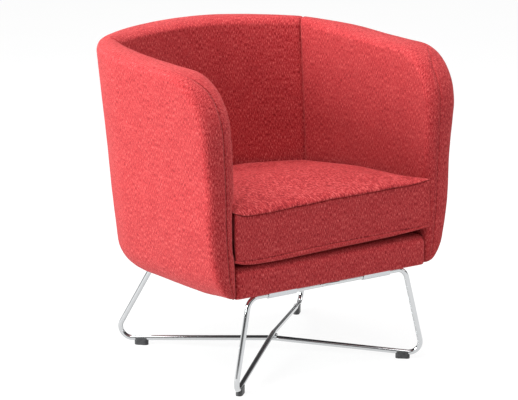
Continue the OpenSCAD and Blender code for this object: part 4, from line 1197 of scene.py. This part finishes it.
def make_cushion():
    tree = fill_cushion()
    V, W, D, F = [], [], [], []
    # rows: kind, and a value; from the middle of the underside to the middle of the top
    rows = [("low", f) for f in (0.97, 0.85, 0.65, 0.45, 0.28, 0.16, 0.09, 0.055, 0.035)]
    rows += [("lip", v) for v in (0, 0.11, 0.22, 0.33, 0.44, 0.55, 0.66, 0.77, 0.86, 0.93, 0.97, 1)]
    ends = [0, 0.0005, 0.0011, 0.0019, 0.003, 0.0044, 0.0062, 0.0085, 0.0115, 0.015, 0.019, 0.0235, 0.0285, 0.034, 0.040]
    rows += [("band", d / 0.094) for d in ends] + [("band", 0.5)] + [("band", 1 - d / 0.094) for d in ends[::-1]]
    rows += [("top", d) for d in (0.0, 0.00002, 0.00008, 0.0002, 0.0005, 0.0010, 0.0018, 0.003, 0.0045, 0.0065, 0.009, 0.012, 0.016, 0.021, 0.027, 0.034, 0.042, 0.051, 0.062, 0.075, 0.09, 0.107, 0.126, 0.147, 0.17, 0.195, 0.215, 0.235)]
    z_seam_low = 0.0135
    for r, (kind, val) in enumerate(rows):
        for k in range(NC):
            p, n = PLAN[k], PNORM[k]
            cr = corner_of(p)
            u = ALONG[k]
            zt = plane_top(p.y)
            wob = 0.0009 * wave((p.x, p.y, 0), 16.0, 2.0) + 0.0007 * wave((p.x, p.y, 0), 42.0, 6.0)
            fr = near_front(p.y)
            zt += wob + 0.0030 * cr + shape(p.x, SHAPE_TOP) * fr
            low = shape(p.x, SHAPE_LOW)
            low = low * (droop(p.y) if low < 0 else fr)
            zl = z_seam_low + wob * 0.5 + shape(p.x, SHAPE_SEAM) * (droop(p.y) if shape(p.x, SHAPE_SEAM) < 0 else fr)
            depth = 0.0
            if kind == "low":
                q = PC + (p - PC) * (1 - val * 0.985)
                z = 0.0004 + 0.0012 * (1 - val) ** 6 + low * (droop(q.y) / max(1e-6, droop(p.y)) if low < 0 and droop(p.y) > 0 else (1 - val) ** 3)
                w = (q.x, q.y)
            elif kind == "lip":
                # rolled edge under the lower seam
                a = math.radians(mix(-80, 62, val))
                tall = max(0.0050, zl - low)
                rad = tall / 1.87
                out = mix(-0.0034, 0.0, cr) + rad * 0.62 * math.cos(a)
                zc = low + 0.0004 + rad * 0.985
                z = zc + rad * math.sin(a)
                q = p + n * (out - 0.0026 * math.exp(-(1 - val) * 0.0085 / 0.0006))
                w = (u, z)
            elif kind == "band":
                z = mix(zl, zt, val)
                hit = tree.ray_cast(Vector((p.x + n.x * 0.1, p.y + n.y * 0.1, clamp(z, 0.02, zt - 0.008))), Vector((-n.x, -n.y, 0)))
                swell = clamp((0.1 - hit[3]) + 0.004, -0.001, 0.0065) if hit[0] is not None else 0.0
                swell = mix(0.0016, swell, 0.6)
                env = math.sin(math.pi * val) ** 0.6 if 0 < val < 1 else 0.0
                swell *= 1 - 0.8 * cr
                edge = min(val, 1 - val) * (zt - zl)
                sink = 0.0042 * math.exp(-edge / 0.0008) if val > 0.5 else 0.0028 * math.exp(-edge / 0.0006)
                q = p + n * (mix(-0.0016, 0.0004, cr) + (swell + 0.0005) * env - sink)
                depth = 0.0
                crimp = 0.00055 * math.exp(-((edge / 0.011) ** 2)) * wave((u, edge * 0.6, 3.0), 85.0, 3.0)
                depth += crimp + 0.0006 * wave((p.x, p.y, z), 20.0, 1.0)
                w = (u, z)
            else:
                l = (p - PC).length
                q = PC + (p - PC) * ((l - val) / l) if val < 0.235 else PC + (p - PC) * 0.02
                zp = plane_top(q.y)
                hit = tree.ray_cast(Vector((q.x, q.y, 0.3)), Vector((0, 0, -1)))
                h_sim = (hit[0].z - zp) if hit[0] is not None else 0.0
                f = clamp(val / 0.24)
                h_fit = CROWN * crown_share(q.x, q.y) * (1 - (1 - f) ** 2.6) ** (1 / 2.6) if f > 0 else 0.0
                h = mix(h_fit, clamp(h_sim, 0.0, 0.030) * crown_share(q.x, q.y), 0.35 * smooth(0.02, 0.07, val))
                over = 0.0020 * (1 - math.exp(-h / 0.0014)) * math.exp(-val / 0.012)
                q = q + n * (over - 0.0042 * math.exp(-h / 0.0008))
                z = mix(zt, zp + (zt - plane_top(p.y)) * math.exp(-val / 0.06), smooth(0, 0.03, val)) + h
                depth = 0.0006 * math.exp(-((val / 0.014) ** 2)) * wave((u, val * 0.5, 9.0), 80.0, 4.0)
                depth += 0.0010 * wave((q.x, q.y, 0), 9.0, 5.0) * smooth(0.01, 0.06, val) + 0.0004 * wave((q.x, q.y, 0), 35.0, 7.0)
                w = (q.x, q.y, 0.5)
            V.append((q.x, q.y, CZ + z))
            W.append(w)
            D.append(depth)
    # the weave is measured along the cloth where the top panel turns down to its seam
    top0 = next(k for k, r in enumerate(rows) if r[0] == "top")
    for k in range(NC):
        extra = 0.0
        for r in range(len(rows) - 2, top0 - 1, -1):
            a, b = Vector(V[(r + 1) * NC + k]), Vector(V[r * NC + k])
            extra += (b - a).length - (b - a).xy.length
            w = W[r * NC + k]
            W[r * NC + k] = (w[0] + PNORM[k].x * extra, w[1] + PNORM[k].y * extra, 0.5)
    for r in range(len(rows) - 1):
        for k in range(NC):
            a, b = r * NC + k, r * NC + (k + 1) % NC
            F.append((a, b, b + NC, a + NC))
    F.append(tuple(range(NC))[::-1])
    F.append(tuple((len(rows) - 1) * NC + k for k in range(NC)))
    V = [seat_plane(v) for v in V]
    o = piece("seat_cushion", V, F, W, red)
    o.data.materials.append(red_seat)
    for f in o.data.polygons:
        if min(f.vertices) >= top0 * NC:
            f.material_index = 1
    press(o, D)
    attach(o, "cushion")
    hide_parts("cushion_foam", "cushion_top_panel", "cushion_border", "cushion_bottom_panel")
    return o


cushion = make_cushion()


def make_zip():
    """Two woven tapes and a moulded coil across the back of the cushion."""
    X = 0.104
    y0 = CB + 0.0007
    z0 = CZ + 0.048
    V, W, F = [], [], []

    def strip(x0, x1, za, zb, y, t, nx, nz, edge):
        base = len(V)
        for a in range(nx + 1):
            for b in range(nz + 1):
                x, z = mix(x0, x1, a / nx), mix(za, zb, b / nz)
                rib = 0.00012 * math.sin(z * 2 * math.pi / 0.0012)
                V.append((x, y + t + rib, z))
                W.append((x, z))
        for a in range(nx):
            for b in range(nz):
                p = base + a * (nz + 1) + b
                F.append((p, p + 1, p + nz + 2, p + nz + 1))
        base2 = len(V)
        for a in range(nx + 1):
            for b in (0, nz):
                x, z = mix(x0, x1, a / nx), mix(za, zb, b / nz)
                V.append((x, y, z))
                W.append((x, z))
        for a in range(nx):
            p, q = base + a * (nz + 1), base2 + a * 2
            F.append((p, p + nz + 1, q + 2, q))
            F.append((p + nz, q + 1, q + 3, p + 2 * nz + 1))

    strip(-X, X, z0, z0 + 0.0075, y0, 0.0008, 60, 12, 0)
    strip(-X, X, z0 + 0.0085, z0 + 0.016, y0, 0.0008, 60, 12, 0)
    n_teeth = 160
    for k in range(n_teeth):
        x = mix(-X + 0.001, X - 0.001, k / (n_teeth - 1))
        side = 1 if k % 2 else -1
        base = len(V)
        zc = z0 + 0.008
        for q in range(9):
            a = math.pi * q / 8
            c = Vector((x + 0.0003 * side * math.cos(a), y0 + 0.0004 + 0.0011 * math.sin(a), zc + side * 0.0002 + 0.0014 * math.cos(a)))
            for s in range(6):
                b = 2 * math.pi * s / 6
                d = Vector((math.cos(b), math.sin(b) * math.sin(a), math.sin(b) * math.cos(a)))
                V.append(c + d * 0.00035)
                W.append((x, zc))
        for q in range(8):
            for s in range(6):
                a, b = base + q * 6 + s, base + q * 6 + (s + 1) % 6
                F.append((a, b, b + 6, a + 6))
    o = piece("zip_tape_and_coil", [seat_plane(v) for v in V], F, W, tape_mat)
    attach(o, "cushion")
    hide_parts("cushion_zip")


make_zip()

# ------------------------------------------------------------------ studio
def stage():
    me = bpy.data.meshes.new("studio_floor")
    n = 24
    V, F = [], []
    ys = [-30 + 60 * k / n for k in range(n + 1)]
    for y in ys:
        for x in (-30.0, 30.0):
            V.append((x, y, 0.0))
    for k in range(n):
        F.append((2 * k, 2 * k + 1, 2 * k + 3, 2 * k + 2))
    me.from_pydata(V, [], F)
    o = bpy.data.objects.new("studio_floor", me)
    bpy.context.scene.collection.objects.link(o)
    m, nt, b = nodes_of("studio_white")
    tc = nt.nodes.new("ShaderNodeTexCoord")
    n_ = noise_tex(nt, tc.outputs["Object"], 3.0, 2.0, 0.5)
    nt.links.new(ramp(nt, n_, [(0.0, (0.115, 0.115, 0.115)), (1.0, (0.125, 0.125, 0.125))]), b.inputs["Base Color"])
    b.inputs["Roughness"].default_value = 0.9
    b.inputs["Specular IOR Level"].default_value = 0.1
    b.inputs["Emission Color"].default_value = (1, 1, 1, 1)
    b.inputs["Emission Strength"].default_value = 0.90
    me.materials.append(m)


stage()


def area(name, at, to, size, power, colour=(1, 1, 1), size_y=None):
    d = bpy.data.lights.new(name, "AREA")
    d.energy = power
    d.color = colour
    d.shape = "RECTANGLE"
    d.size = size
    d.size_y = size_y or size
    o = bpy.data.objects.new(name, d)
    o.location = at
    o.rotation_mode = "QUATERNION"
    o.rotation_quaternion = (Vector(to) - Vector(at)).to_track_quat("-Z", "Y")
    bpy.context.scene.collection.objects.link(o)
    return o


area("key_left", (-3.3, 0.55, 1.32), (0, 0, 0.42), 2.0, 174, (1.0, 1.06, 1.05), 1.45)
area("overhead", (-0.65, 0.10, 3.2), (0, 0, 0.3), 3.1, 164)
area("fill_front", (2.3, -4.0, 2.0), (0, 0, 0.4), 2.0, 18)
area("fill_right", (3.2, -1.7, 1.75), (-0.2, 0.2, 0.6), 1.6, 32)

world = bpy.data.worlds.new("studio")
bpy.context.scene.world = world
world.use_nodes = True
# A dim studio: pale at floor level, darker walls, a lighter ceiling
bg = world.node_tree.nodes["Background"]
wt = world.node_tree
wc = wt.nodes.new("ShaderNodeTexCoord")
ws = wt.nodes.new("ShaderNodeSeparateXYZ")
wt.links.new(wc.outputs["Generated"], ws.inputs[0])
wr = ramp(wt, math_node(wt, "MAXIMUM", ws.outputs[2], 0.0), [(0.0, (0.80, 0.80, 0.80)), (0.03, (0.70, 0.70, 0.70)), (0.09, (0.10, 0.10, 0.10)), (0.34, (0.14, 0.14, 0.14)), (0.62, (0.55, 0.55, 0.55))])
wt.links.new(wr, bg.inputs[0])
bg.inputs[1].default_value = 0.9

sc = bpy.context.scene
sc.view_settings.view_transform = "Standard"
sc.view_settings.look = "None"
sc.view_settings.exposure = 0.0

cam = bpy.data.cameras.new("camera")
cam.lens = 138.996
cam.sensor_width = 36.0
cam.clip_end = 100
co = bpy.data.objects.new("camera", cam)
co.location = (-2.501, -3.7435, 1.462)
yaw, pitch = math.radians(33.95), math.radians(13.92)
view_dir = Vector((math.sin(yaw) * math.cos(pitch), math.cos(yaw) * math.cos(pitch), -math.sin(pitch)))
co.rotation_mode = "QUATERNION"
co.rotation_quaternion = view_dir.to_track_quat("-Z", "Y")
sc.collection.objects.link(co)
sc.camera = co
